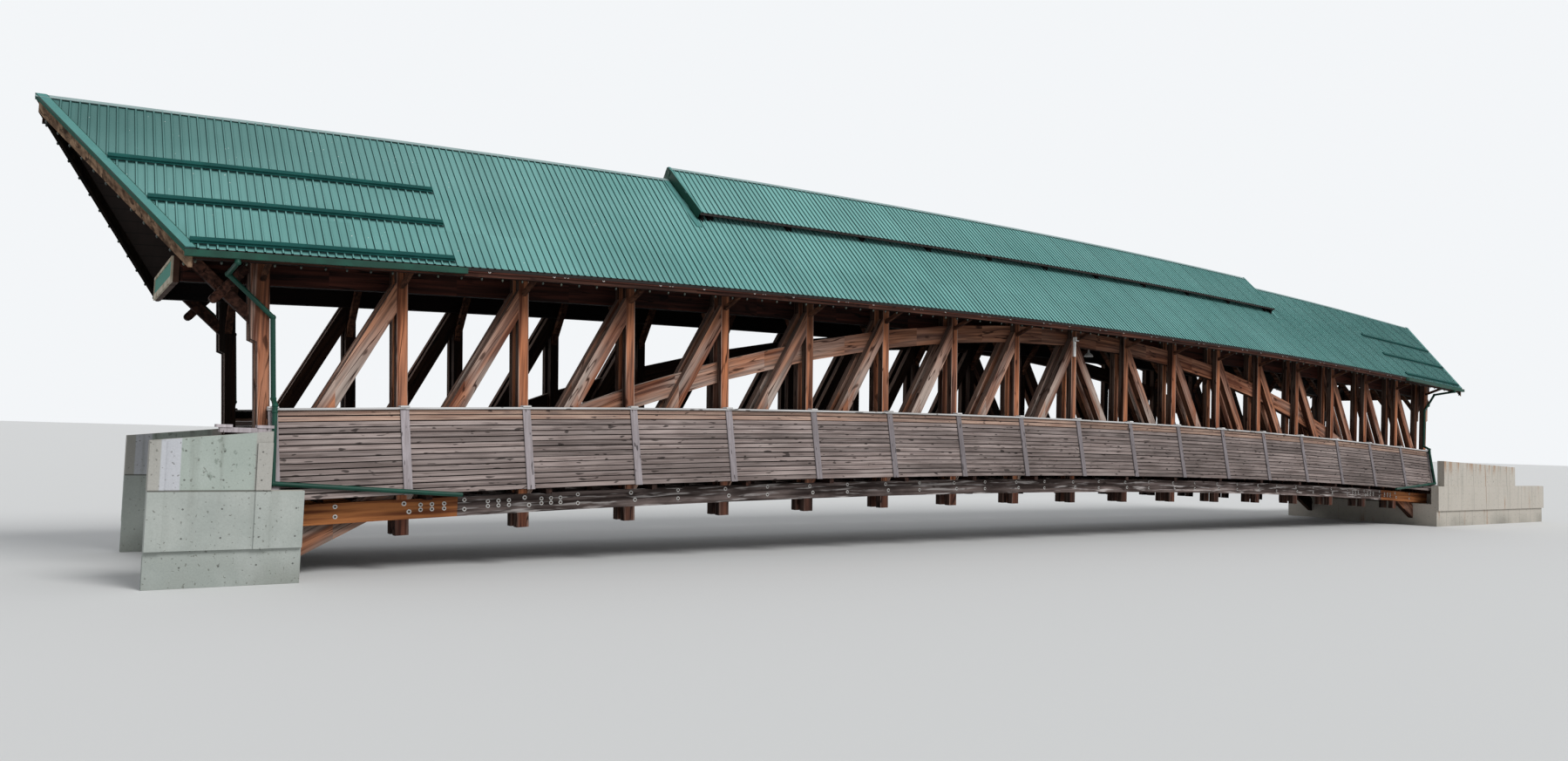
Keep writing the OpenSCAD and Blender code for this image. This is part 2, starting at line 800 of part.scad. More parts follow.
// The chords and the arches' feet rest on this block
module abutment() {
    w = wing_y - wing_t - seat;
    back = backwall_x + backwall_t;
    color(concrete) translate([face_x, -w, -foot])
        cube([back - face_x, 2 * w, foot + seat_level() - seat]);
}
function seat_level() = on_curve(chord_end, chord_base)[1];

module backwall() {
    w = wing_y - wing_t - seat;
    color(concrete) translate([backwall_x, -w, seat_level()])
        cube([backwall_t, 2 * w, -camber - seat_level() - seat]);
}

// Lower wall, footing course and parapet of one wing
module wing(parapet_l, wall_l) {
    wall_end = half + wall_l;
    parapet_end = half + parapet_l;
    parapet_x = skirt_end + skirt_in + seat;
    inner = wing_y - wing_t;
    color(concrete) {
        translate([face_x, inner, -foot + footing_h]) cube([wall_end - face_x, wing_t, foot - footing_h - wing_top]);
        translate([face_x, inner, -foot]) cube([wall_end - face_x, wing_t - footing_step, footing_h - seat]);
        side_plate(inner, wing_y - parapet_step, [
            [parapet_x, -wing_top + seat], [parapet_end, -wing_top + seat],
            [parapet_end, -wing_top + parapet_end_h], [parapet_x, -wing_top + parapet_h]
        ]);
    }
}

// Pilasters up both ends of a short wing wall
module pilasters(wall_l) {
    h = foot - footing_h - wing_top + parapet_end_h;
    color(concrete) for (x = [skirt_end + skirt_in + seat, half + wall_l - pilaster_w]) {
        translate([x, wing_y + seat, -foot + footing_h]) cube([pilaster_w, pilaster_t, h]);
    }
}

module left_abutment() { mirror([1, 0, 0]) abutment(); }
module right_abutment() { abutment(); }
module left_backwall() { mirror([1, 0, 0]) backwall(); }
module right_backwall() { backwall(); }
module left_wing_walls() {
    mirror([1, 0, 0]) both_sides() {
        wing(left_wing, left_wing);
        pilasters(left_wing);
    }
}
module right_wing_walls() { both_sides() wing(right_parapet, right_wing); }

left_abutment();
left_backwall();
left_wing_walls();
right_abutment();
right_backwall();
right_wing_walls();
at_near() bottom_chord();  // near_bottom_chord
at_far() bottom_chord();  // far_bottom_chord
at_near() posts();  // near_posts
at_far() posts();  // far_posts
at_near() braces();  // near_braces
at_far() braces();  // far_braces
at_near() arch();  // near_arch
at_far() arch();  // far_arch
at_near() top_chord();  // near_top_chord
at_far() top_chord();  // far_top_chord
both_sides() post_feet();
floor_joists();
deck();
at_near() skirt();  // near_skirt
at_far() skirt();  // far_skirt
both_sides() skirt_batten();  // skirt_battens
both_sides() rail_cap();  // rail_caps
both_sides() rail_girt();  // rail_girts
both_sides() skirt_bracket();  // skirt_brackets
tie_beams();
both_sides() knee_brace();  // knee_braces
both_sides() eave_strut();  // eave_struts
both_sides() eave_purlin();  // eave_purlins
both_sides() rafter();  // rafters
ridge_beam();
at_near() roof_slope();  // near_roof
at_far() roof_slope();  // far_roof
both_sides() raised_slope();  // raised_roof
both_sides() raised_rafter();  // raised_roof_rafters
ridge_flashing();
both_sides() rake_board();  // rake_boards
both_sides() snow_stops_one_slope();  // snow_stops
both_sides() gutter();  // gutters
both_sides() downspout();  // downspouts
both_sides() portal_brace();  // portal_braces
sign_boards();
lamps();
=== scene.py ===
"""Looks of the covered bridge model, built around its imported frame.

Metres, at half the real size. X runs along the bridge, the near side is -Y,
and Z = 0 is the deck's surface at midspan.
"""

import math
import random

import bpy
from mathutils import Matrix, Vector


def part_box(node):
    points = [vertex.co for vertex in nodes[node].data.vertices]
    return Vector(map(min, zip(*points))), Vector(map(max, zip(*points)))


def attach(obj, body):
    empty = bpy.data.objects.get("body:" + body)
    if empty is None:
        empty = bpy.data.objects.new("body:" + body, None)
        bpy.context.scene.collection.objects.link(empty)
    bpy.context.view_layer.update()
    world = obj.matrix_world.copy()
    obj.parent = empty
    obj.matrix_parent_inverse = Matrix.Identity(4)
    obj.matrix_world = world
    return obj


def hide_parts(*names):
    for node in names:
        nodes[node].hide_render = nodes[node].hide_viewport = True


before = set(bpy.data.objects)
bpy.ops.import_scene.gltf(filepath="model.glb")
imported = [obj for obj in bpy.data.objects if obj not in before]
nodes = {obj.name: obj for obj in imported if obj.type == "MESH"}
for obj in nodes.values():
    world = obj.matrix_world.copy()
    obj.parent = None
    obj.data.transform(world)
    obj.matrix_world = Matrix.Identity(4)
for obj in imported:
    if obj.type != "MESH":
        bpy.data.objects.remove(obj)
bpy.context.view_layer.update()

# The trusses and their curve
BAYS = 18
BAY = 1.270
HALF = BAYS * BAY / 2
CAMBER = 0.288
BEND = CAMBER / HALF**2
TRUSS_Y = -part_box("near_posts")[0].y
LEAF, ARCH_W = 0.092, 0.094
INNER_Y = TRUSS_Y - 2 * LEAF - ARCH_W
POST_W = 0.110
CHORD_END = HALF + 0.150
NEW_CHORD_X = 9.585
BRACE_RISE = 2.135
BRACE_TILT = math.atan2(BRACE_RISE, BAY)
ARCH_RADIUS, ARCH_CROWN = 23.11, 2.140

# The main roof and the raised roof over its middle
RIDGE_H, EAVE_H, EAVE_Y = 3.7752, 2.1602, 1.680
SLOPE = (RIDGE_H - EAVE_H) / EAVE_Y
RIDGE_END, EAVE_END = HALF + 1.970, HALF + 0.800
ROOF_T = 0.036
RAISED_END, RAISED_EAVE_END, RAISED_Y = 6.600, 6.500, 0.730
RAISED_TOP = RIDGE_H + 0.155
PURLIN_Y, PURLIN_D = EAVE_Y - 0.020, 0.075
PURLIN_BASE = RIDGE_H - ROOF_T - SLOPE * PURLIN_Y - PURLIN_D
FASCIA_BASE, FASCIA_T, FASCIA_IN = PURLIN_BASE + 0.041, 0.014, 0.075
RAKE_D = 0.135
LAMP_PITCH, RAKE_LAMPS = 0.215, 12

# The roof's ribs, trims and snow stops. The stops begin STOP_IN inside the end posts.
RIB_PITCH, RIB_H = 0.0765, 0.013
RIB_PROFILE = ((-0.013, -0.001), (-0.006, RIB_H), (0.006, RIB_H), (0.013, -0.001))
LAP_RIBS = 6
LAP_TINT, RIB_TINT = 0.0, 0.6
RIDGE_STRIP, STRIP_T = 0.050, 0.005
STOP_ROWS = (0.690, 1.135, 1.585)
STOP_W, STOP_H, STOP_IN, STOP_PARTS = 0.040, 0.022, 1.580, 3
LIP_W, LIP_H = 0.012, 0.003
TRIM_W, RAISED_TRIM_W, FLASHING_W = 0.085, 0.030, 0.075
EDGE_T, EDGE_DROP, RAISED_EDGE_DROP, HEM_W = 0.004, 0.030, 0.104, 0.010
TIP_Y = 0.006

# The skirts, the rail and the deck. HAIR is a hairline gap between pieces that lie together.
RAIL_H, CAP_THICK = 0.740, 0.020
SKIRT_TOP, SKIRT_FOOT = RAIL_H - CAP_THICK, -0.128
SKIRT_Y, SKIRT_LEAN, SKIRT_T = 1.335, 0.150, 0.020
SKIRT_END = HALF - 0.025
BOARD_SLOPE = SKIRT_LEAN / (SKIRT_TOP - SKIRT_FOOT)
SKIRT_BOARDS, UPPER_BOARDS = 15, 2
BOARD_GAP = 0.009
DECK_T, DECK_BOARD, DECK_GAP = 0.038, 0.0735, 0.0024
HAIR = 0.0004

# Bolts: on the chord their distance past a post and their height, at the eave their distance and radius
CHORD_BOLTS = ((0.02, -0.232), (0.07, -0.315))
BRACE_BOLT_HEIGHTS = (-0.225, -0.322)
SPLICES = (-9.975, -9.860, -9.735, -9.275, -9.160, -9.045, -8.680, -8.570, -8.460)
SPLICE_HEIGHTS = (-0.252, -0.302)
EAVE_BOLTS = ((0.09, 0.014), (0.21, 0.009), (0.245, 0.009), (0.66, 0.014))
CHORD_WASHER, SPLICE_WASHER = 0.024, 0.022

# The abutments, with the edges of the strips in which the left parapets were cast
FOOT = -1.150
WING_Y, WING_TOP, PARAPET_H = 1.675, -0.300, 0.540
CAST_XS, CAST_BLUR = (-12.313, -12.157, -11.567), 0.006
LEFT_WALL_X, LEDGE_X, RIGHT_WALL_X = (-11.0, -11.2), (-11.4, -11.44), (0.0, 1.0)
DRIP_X, DRIP_Z = (11.0, 11.5), (-0.12, 0.20)
TIE_PITCH_X, TIE_PITCH_Z = 0.305, 0.255
FORM_W = 0.61

# Where a look changes, from none to all of it: along the bridge, across it, or with the height
# TIMBER_SHADE_X, UNDER_EAVE_H and BELOW_DECK_H are where painted shade falls on the timbers.
TIMBER_SHADE_X, END_POST_X = (-10.8, -7.0), (-11.0, -11.3)
SILVER_LOST_X, CHORD_LIGHT_X = (0.5, 5.0), (-4.0, 3.0)
SKIRT_DIM_X, BATTEN_DIM_X = (-7.0, 4.0), (-9.5, -3.0)
ROOF_LIGHT_X, ROOF_DIM_X, ROOF_DIM_Y = (-13.5, 10.0), (-7.0, -13.5), (1.7, 0.1)
OPEN_AIR_H, UNDER_EAVE_H, BELOW_DECK_H = (2.0, 0.9), (1.25, 2.15), (-0.10, -0.45)

# Timber colours, and the boards' pale, brown and dark tones
WARM, DEEP, SILVER = (0.500, 0.190, 0.088), (0.155, 0.046, 0.024), (0.420, 0.342, 0.296)
# The inner beams' dark brown wood is deepened further as painted shade.
BEAM, BEAM_DEEP = (0.046, 0.018, 0.012), (0.016, 0.007, 0.005)
SKIRT_TONES = (0.322, 0.264, 0.246), (0.205, 0.160, 0.147), (0.080, 0.062, 0.056)
UPPER_TONES = (0.430, 0.300, 0.235), (0.270, 0.165, 0.125), (0.150, 0.110, 0.100)
BATTEN_TONES = (0.480, 0.430, 0.448), (0.370, 0.325, 0.335), (0.240, 0.210, 0.210)
CAP_TONES = (0.720, 0.710, 0.705), (0.600, 0.585, 0.575), (0.320, 0.300, 0.280)
DECK_TONES = (0.300, 0.255, 0.225), (0.200, 0.160, 0.135), (0.100, 0.085, 0.075)
FASCIA_TONES = (0.100, 0.034, 0.022), (0.052, 0.017, 0.012), (0.020, 0.009, 0.007)

# Floor, light and camera
FLOOR_SIZE, FLOOR_COLOUR = 400, (0.70, 0.70, 0.69, 1.0)
SKY_LIGHT, SKY_STRENGTH = (0.93, 0.96, 1.0, 1.0), 0.50
SKY_SEEN = (0.90, 0.92, 0.94, 1.0)
SUN_FROM, SUN_STRENGTH, SUN_ANGLE = Vector((0.30, -0.80, 0.72)), 2.0, 25
CAMERA_PLACE = Vector((-13.134, -12.274, 0.3071))
CAMERA_YAW, CAMERA_PITCH, CAMERA_ROLL = 0.6055, 0.0549, 0.0290
PHOTO_WIDTH, FOCAL_PIXELS, SENSOR = 1799, 1216.49, 36.0

chance = random.Random(18)


def fall(s):
    """Height of the deck's curve at s, or at a Value; it is 0 at midspan."""
    return s * s * -BEND


def station(i):
    """Place of post i along the deck."""
    return -HALF + i * BAY


def bay_ends(i, end, gap=0.0):
    """Both ends of bay i, drawn in by gap. The first and the last bay run out to end instead."""
    low = station(i) + gap if i else -end
    high = station(i + 1) - gap if i < BAYS - 1 else end
    return low, high


def on_curve(s, h, y):
    """The point at distance s along the deck and height h above it, with members square to the curve."""
    return Vector((s * (1 + 2 * BEND * h), y, h + fall(s)))


def skirt_outer(h):
    """How far out a skirt's face is at height h above the deck."""
    return SKIRT_Y + BOARD_SLOPE * (SKIRT_TOP - h)


def roof_fall(x):
    """Drop of the roof at x: the roof is straight over each bay and from the last post to its end."""
    a = abs(x)
    k = math.floor(a / BAY)
    low, high = (HALF, RIDGE_END) if a >= HALF else (k * BAY, (k + 1) * BAY)
    return fall(low) + (fall(high) - fall(low)) * (a - low) / (high - low)


class Piece:
    """Collects the blocks of one visible piece and makes it one mesh. Shaders can read a block's tint."""

    def __init__(self, name, material, slot, replaced=(), smooth=False):
        self.name, self.material, self.slot = name, material, slot
        self.replaced, self.smooth = replaced, smooth
        self.points, self.faces, self.tints = [], [], []

    def loft(self, *rings, tint=0.5):
        """Skins rings of as many points each, with a face over each end."""
        first, n = len(self.points), len(rings[0])
        for ring in rings:
            self.points.extend(ring)
        for r in range(len(rings) - 1):
            for k in range(n):
                a, b = first + r * n + k, first + r * n + (k + 1) % n
                self.faces.append((a, b, b + n, a + n))
        last = first + (len(rings) - 1) * n
        self.faces.append(tuple(range(first, first + n))[::-1])
        self.faces.append(tuple(range(last, last + n)))
        self.tints.extend([tint] * (len(self.faces) - len(self.tints)))

    def box(self, low, high, tint=0.5):
        (x0, y0, z0), (x1, y1, z1) = low, high
        corners = (y0, z0), (y1, z0), (y1, z1), (y0, z1)
        self.loft(*([Vector((x, y, z)) for y, z in corners] for x in (x0, x1)), tint=tint)

    def turned(self, centre, axis, profile, sides, tint=0.5):
        """A turned shape: profile lists (distance along the axis, radius)."""
        turn = Vector(axis).to_track_quat("Z", "Y").to_matrix()
        rings = []
        for along, radius in profile:
            ring = []
            for k in range(sides):
                a = 2 * math.pi * k / sides
                spoke = Vector((radius * math.cos(a), radius * math.sin(a), along))
                ring.append(Vector(centre) + turn @ spoke)
            rings.append(ring)
        self.loft(*rings, tint=tint)

    def make(self):
        mesh = bpy.data.meshes.new(self.name)
        mesh.from_pydata(self.points, [], self.faces)
        tint = mesh.attributes.new("tint", "FLOAT", "FACE")
        tint.data.foreach_set("value", self.tints)
        mesh.materials.append(self.material)
        piece = bpy.data.objects.new(self.name, mesh)
        bpy.context.scene.collection.objects.link(piece)
        bpy.context.view_layer.objects.active = piece
        bpy.ops.object.select_all(action="DESELECT")
        piece.select_set(True)
        bpy.ops.object.mode_set(mode="EDIT")
        bpy.ops.mesh.select_all(action="SELECT")
        bpy.ops.mesh.normals_make_consistent(inside=False)
        bpy.ops.object.mode_set(mode="OBJECT")
        if self.smooth:
            mesh.shade_smooth()
        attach(piece, "root")
        if self.replaced:
            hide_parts(*self.replaced)


class Value:
    """A shader socket that takes Python's arithmetic, one Math node for each step."""

    def __init__(self, owner, socket):
        self.owner, self.socket = owner, socket

    def math(self, operation, *values):
        return self.owner.node("ShaderNodeMath", values, operation=operation)

    def __add__(self, other):
        return self.math("ADD", self, other)

    def __sub__(self, other):
        return self.math("SUBTRACT", self, other)

    def __rsub__(self, other):
        return self.math("SUBTRACT", other, self)

    def __mul__(self, other):
        return self.math("MULTIPLY", self, other)

    def __truediv__(self, other):
        return self.math("DIVIDE", self, other)

    def __rtruediv__(self, other):
        return self.math("DIVIDE", other, self)

    def __abs__(self):
        return self.math("ABSOLUTE", self)

    __radd__, __rmul__ = __add__, __mul__

    def floor(self):
        return self.math("FLOOR", self)

    def fraction(self):
        return self.math("FRACT", self)

    def sign(self):
        return self.math("SIGN", self)

    def root(self):
        return self.math("SQRT", self)

    def angle(self, other):
        """The angle whose tangent is this over the other."""
        return self.math("ARCTAN2", self, other)

    def least(self, other):
        return self.math("MINIMUM", self, other)

    def most(self, other):
        return self.math("MAXIMUM", self, other)

    def between(self, low, high):
        """0 at low, 1 at high and smooth between them; high may be the lower one."""
        sockets = {0: self, 1: low, 2: high, 3: 0.0, 4: 1.0}
        if high < low:
            sockets = {0: self, 1: high, 2: low, 3: 1.0, 4: 0.0}
        return self.owner.node("ShaderNodeMapRange", sockets, interpolation_type="SMOOTHSTEP")


class Nodes:
    """The node tree of a material or of the world."""

    def __init__(self, holder):
        holder.use_nodes = True
        self.tree = holder.node_tree

    def node(self, kind, sockets=(), output=0, **settings):
        """Adds a node with its settings and the values or links of its sockets."""
        made = self.tree.nodes.new(kind)
        for key, value in settings.items():
            setattr(made, key, value)
        listed = sockets.items() if isinstance(sockets, dict) else enumerate(sockets)
        for key, value in listed:
            self.feed(made.inputs[key], value)
        return Value(self, made.outputs[output])

    def feed(self, socket, value):
        if isinstance(value, Value):
            self.tree.links.new(value.socket, socket)
        else:
            socket.default_value = value


class Sky(Nodes):
    """The world's nodes."""

    def __init__(self, name):
        self.world = bpy.data.worlds.new(name)
        super().__init__(self.world)

    def ray(self, kind):
        return self.node("ShaderNodeLightPath", output=kind)


class Shader(Nodes):
    """One material, made by expressions on its Values."""

    def __init__(self, name, roughness=0.7, **sockets):
        self.material = bpy.data.materials.new(name)
        super().__init__(self.material)
        self.surface = self.tree.nodes["Principled BSDF"]
        self.surface.inputs["Roughness"].default_value = roughness
        for key, value in sockets.items():
            self.surface.inputs[key.replace("_", " ")].default_value = value

    def point(self):
        """The point on the object, in metres."""
        return self.node("ShaderNodeTexCoord", output="Object")

    def place(self):
        """X, Y and Z of the point."""
        point = self.point()
        return [self.node("ShaderNodeSeparateXYZ", (point,), output=k) for k in range(3)]

    def above_deck(self):
        """Height of the point above the deck's curve."""
        x, _, z = self.place()
        return z - fall(x)

    def facing(self, axis):
        """How far the surface faces along an axis, from -1 to 1."""
        normal = self.node("ShaderNodeNewGeometry", output="Normal")
        return self.node("ShaderNodeSeparateXYZ", (normal,), output=axis)

    def outward(self):
        """1 on faces that look away from the deck, -1 on those that look towards it."""
        return self.facing(1) * self.place()[1].sign()

    def vector(self, x, y, z):
        return self.node("ShaderNodeCombineXYZ", (x, y, z))

    def noise(self, vector, scale, detail=2.0, roughness=0.5):
        """Noise around 0.5."""
        sockets = {"Vector": vector, "Scale": scale, "Detail": detail, "Roughness": roughness}
        return self.node("ShaderNodeTexNoise", sockets)

    def stretched(self, axes, scales, shift=0.0, detail=2.0, roughness=0.5):
        """Noise with its own scale on each of three axes; shift moves it along the first."""
        a, b, c = (axis * scale for axis, scale in zip(axes, scales))
        return self.noise(self.vector(a + shift, b, c), 1.0, detail, roughness)

    def cell(self, x, y, layer):
        """A chance value from 0 to 1 for each unit cell."""
        vector = self.vector(x.floor(), y.floor(), layer)
        return self.node("ShaderNodeTexWhiteNoise", {"Vector": vector})

    def tint(self):
        """The number that a piece gives each of its blocks."""
        return self.node("ShaderNodeAttribute", output="Fac", attribute_name="tint")

    def mix(self, share, a, b, blend="MIX"):
        sockets = {0: share, 6: colour(a), 7: colour(b)}
        return self.node("ShaderNodeMix", sockets, output=2, data_type="RGBA", blend_type=blend)

    def shade(self, paint, amount):
        """Darkens or lightens a colour by a Value around 1."""
        grey = self.node("ShaderNodeCombineColor", (amount, amount, amount))
        return self.mix(1.0, paint, grey, "MULTIPLY")

    def done(self, paint, height=None, depth=0.001, strength=1.0, roughness=None):
        self.feed(self.surface.inputs["Base Color"], paint)
        if roughness is not None:
            self.feed(self.surface.inputs["Roughness"], roughness)
        if height is not None:
            sockets = {"Height": height, "Distance": depth, "Strength": strength}
            bump = self.node("ShaderNodeBump", sockets)
            self.feed(self.surface.inputs["Normal"], bump)
        return self.material


def colour(value):
    return value if isinstance(value, Value) else (*value, 1.0)


def grain_axes(sh, run):
    """Along, across and through the grain, for members that run one way."""
    x, y, z = sh.place()
    if run == "x":
        return x, sh.above_deck(), y
    if run == "y":
        return y, z, x
    if run == "z":
        return z, x, y
    if run == "slope":
        c, s = math.cos(math.atan(SLOPE)), math.sin(math.atan(SLOPE))
        return abs(y) * c - z * s, abs(y) * s + z * c, x
    if run == "arch":
        up = z - (ARCH_CROWN - ARCH_RADIUS)
        return x.angle(up) * ARCH_RADIUS, (x * x + up * up).root(), y
    a, h = abs(x), sh.above_deck()
    c, s = math.cos(BRACE_TILT), math.sin(BRACE_TILT)
    return h * s - a * c, a * s + h * c, y


def heavy_timber(name, run, warm, deep, age, inner_shade=0.6, edge=0.0, side=0.45, silver=SILVER):
    """Sawn timber with fibre, streaks and checks. It is silvered outside and on top, and painted shade
    makes it dark inside.

    age is how far it is silvered, inner_shade how dark the faces towards the deck are painted as shade,
    side how light the flanks are painted against the outer faces, edge how pale the worn corners of the
    posts are, and silver is the weathered colour.
    """
    sh = Shader(name, roughness=0.80, Specular_IOR_Level=0.12)
    x, y, _ = sh.place()
    height = sh.above_deck()
    grain = grain_axes(sh, run)
    along, across, through = grain
    s = x / (height * (2 * BEND) + 1.0)
    member = sh.cell(s / BAY + 0.5, y * 8.0, 1.0)
    shift = member * 7.0
    fibre = sh.stretched(grain, (5.0, 110.0, 110.0), shift, 3.0, 0.6)
    streak = sh.stretched(grain, (1.0, 26.0, 26.0), shift, 3.0)
    broad = sh.stretched(grain, (0.5, 8.0, 8.0), shift)
    bent = across + fibre * 0.004
    check = sh.stretched((along, bent, through), (0.9, 13.0, 13.0), shift, 1.0)
    crack = abs(check - 0.5).between(0.022, 0.005)
    crack = crack * sh.stretched(grain, (1.5, 4.0, 4.0)).between(0.38, 0.56)
    knot = sh.noise(sh.vector(along * 5.0, across * 11.0 + shift, through * 11.0), 1.0, 0.0)
    knot = knot.between(0.74, 0.82)

    stripe = streak.between(0.32, 0.66)
    wood = sh.mix(broad.between(0.36, 0.62) * 0.5 + stripe * 0.5, deep, warm)
    # Painted shade: the timber darkens from the left end towards the middle, and the end post is darker
    # still.
    shade_along = x.between(*TIMBER_SHADE_X) * 0.26 + x.between(*END_POST_X) * 0.30
    wood = sh.shade(wood, 0.44 + stripe * 0.56 + fibre * 0.34 + member * 0.36 - shade_along)

    out = sh.outward()
    upward = sh.facing(2).between(0.15, 0.8) * 0.8
    corner = abs((s / BAY + 0.5).fraction() - 0.5) * BAY
    worn = corner.between(POST_W / 2 - 0.012, POST_W / 2 - 0.003) * streak.between(0.35, 0.6)
    weather = sh.stretched(grain, (0.7, 5.0, 5.0), shift, 3.0).between(0.36, 0.64)
    weather = weather * out.between(0.3, 0.9) * (height.between(*OPEN_AIR_H) * 0.85 + 0.15)
    weather = weather * (1 - x.between(*SILVER_LOST_X) * 0.65)
    aged = (weather * age + upward + worn * edge).least(1.0)
    grey = sh.shade(silver, 0.42 + fibre * 0.56 + stripe * 0.42)
    paint = sh.mix(aged, wood, grey)
    paint = sh.mix((crack * 0.9).most(knot * 0.75), paint, [c * 0.16 for c in deep])

    # Painted light and shade: outer and upward faces are lit and flanks darker; faces looking down, the
    # timber under the eave, below the deck and towards the deck get painted shade.
    lit = out.between(0.05, 0.6).most(upward) * (1 - side) + side
    lit = lit * (1 - sh.facing(2).between(-0.3, -0.8) * 0.55)
    lit = lit * (1 - height.between(*UNDER_EAVE_H) * 0.42)
    lit = lit * (1 - height.between(*BELOW_DECK_H) * 0.42)
    paint = sh.shade(paint, lit * (1 - out.between(-0.1, -0.6) * inner_shade))
    return sh.done(paint, fibre * 0.35 - crack, 0.004, 0.6)


def sawn_boards(name, run, tones, contrast, fade=None, shade_gaps=False):
    """Weathered boards, each a little lighter or darker by its tint.

    fade is where they darken along the bridge, with how much, and shade_gaps paints shade
    into the insides of the gaps between a skirt's boards.
    """
    pale, brown, dark = tones
    sh = Shader(name, roughness=0.85, Specular_IOR_Level=0.15)
    x, y, _ = sh.place()
    grain = grain_axes(sh, run)
    tint = sh.tint()
    fibre = sh.stretched(grain, (5.0, 150.0, 150.0), tint * 40.0, 3.0, 0.6)
    streak = sh.stretched(grain, (1.6, 55.0, 20.0), tint * 90.0, 3.0).between(0.36, 0.62)
    blotch = sh.stretched(grain, (1.2, 2.4, 2.4), detail=3.0).between(0.35, 0.70)
    knot = sh.stretched(grain, (9.0, 34.0, 20.0), tint * 30.0, 0.0).between(0.72, 0.78)
    wear = sh.stretched(grain, (3.0, 26.0, 9.0), tint * 60.0).between(0.58, 0.72)
    paint = sh.mix(streak, brown, pale)
    paint = sh.mix(blotch * 0.40, paint, dark)
    paint = sh.mix(wear * 0.5 * contrast, paint, dark)
    swing = 0.55 * contrast
    paint = sh.shade(paint, (fibre - 0.5) * swing + (tint - 0.5) * swing + 1.0)
    paint = sh.mix(knot * 0.8, paint, [c * 0.22 for c in dark])
    if fade:
        where, amount = fade
        paint = sh.shade(paint, 1 - x.between(*where) * amount)
    if shade_gaps:
        # Painted shade inside the gaps between the boards.
        sunk = skirt_outer(sh.above_deck()) - abs(y)
        inside = sunk.between(0.003, 0.006) * sunk.between(0.0185, 0.0165)
        paint = sh.mix(inside, paint, (0.010, 0.007, 0.006))
    return sh.done(paint, fibre, 0.003, 0.6)


def bottom_chord_timber():
    """Dark old chords whose end lengths were renewed in orange-brown timber."""
    sh = Shader("bottom_chord_timber", roughness=0.82, Specular_IOR_Level=0.15)
    x = sh.place()[0]
    grain = grain_axes(sh, "x")
    fibre = sh.stretched(grain, (4.0, 110.0, 110.0), detail=3.0, roughness=0.6)
    streak = sh.stretched(grain, (0.9, 22.0, 9.0), detail=4.0).between(0.34, 0.66)
    stain = sh.stretched(grain, (1.7, 3.0, 3.0), detail=4.0).between(0.40, 0.66)
    knot = sh.stretched(grain, (6.0, 14.0, 9.0), detail=0.0).between(0.75, 0.83)
    scar = sh.stretched(grain, (2.2, 30.0, 9.0), detail=3.0).between(0.54, 0.68)
    old = sh.mix(streak, (0.036, 0.025, 0.022), (0.190, 0.148, 0.136))
    old = sh.mix(stain * 0.70, old, (0.022, 0.014, 0.012))
    old = sh.mix(scar * 0.85, old, (0.420, 0.385, 0.370))
    old = sh.shade(old, 1 + x.between(*CHORD_LIGHT_X) * 0.7)
    new = sh.mix(streak, (0.130, 0.040, 0.016), (0.420, 0.160, 0.055))
    renewed = abs(x).between(NEW_CHORD_X - 0.002, NEW_CHORD_X + 0.002)
    paint = sh.shade(sh.mix(renewed, old, new), 0.70 + fibre * 0.6)
    paint = sh.mix(knot * 0.7, paint, (0.02, 0.012, 0.01))
    return sh.done(paint, fibre, 0.004, 0.5)


def roof_sheet(name, ribs=False):
    """Green painted sheet, a little chalked, with painted shadows below the snow stops. Ribs get painted
    shade on their flanks, and sheets dark boards with painted shade below them.
    """
    sh = Shader(name, Specular_IOR_Level=0.18)
    place = sh.place()
    x, y, _ = place
    broad = sh.stretched(place, (0.35, 0.8, 0.8), detail=3.0).between(0.30, 0.70)
    pan = sh.cell(x / (RIB_PITCH * LAP_RIBS) + 0.5, y * 0.4 + 0.5, 0.0)
    fine = sh.stretched(place, (18.0, 3.0, 3.0), detail=3.0)
    paint = sh.mix(broad, (0.152, 0.362, 0.336), (0.190, 0.420, 0.392))
    shaded = x.between(*ROOF_DIM_X) * abs(y).between(*ROOF_DIM_Y) * 0.48
    bright = x.between(*ROOF_LIGHT_X) * 0.32 + 0.84
    paint = sh.shade(paint, (0.84 + pan * 0.14 + fine * 0.18) * (1 - shaded) * bright)
    # Painted shadow of each snow stop on the sheet below it.
    for row in STOP_ROWS:
        below = abs(y) - (row + STOP_W)
        stop_shadow = below.between(-0.004, 0.001) * below.between(0.040, 0.026)
        stop_shadow = stop_shadow * abs(x).between(HALF - STOP_IN - 0.002, HALF - STOP_IN)
        paint = sh.mix(stop_shadow * 0.72, paint, (0.008, 0.050, 0.046))
    speck = sh.noise(sh.point(), 46.0, 0.0).between(0.862, 0.872)
    paint = sh.mix(speck, paint, (0.56, 0.62, 0.58))
    paint = rib_flank_shade(sh, paint) if ribs else boards_below(sh, paint, fine)
    chalk = sh.noise(sh.point(), 1.4, 4.0).between(0.4, 0.7)
    return sh.done(paint, fine * 0.4, 0.002, 0.25, 0.54 + chalk * 0.12)


def rib_flank_shade(sh, paint):
    """Painted shade: the ribs' left flanks are dark, most of all where two sheets lap, their right flanks
    less so, and their undersides near black.
    """
    lap = sh.tint().between(0.3, 0.1)
    left, right = sh.facing(0).between(-0.2, -0.6), sh.facing(0).between(0.2, 0.6)
    paint = sh.mix(left * (lap * 0.22 + 0.76), paint, (0.006, 0.042, 0.040))
    paint = sh.mix(right * 0.55, paint, (0.012, 0.070, 0.064))
    return sh.mix(sh.facing(2).between(0.0, -0.3), paint, (0.010, 0.008, 0.006))


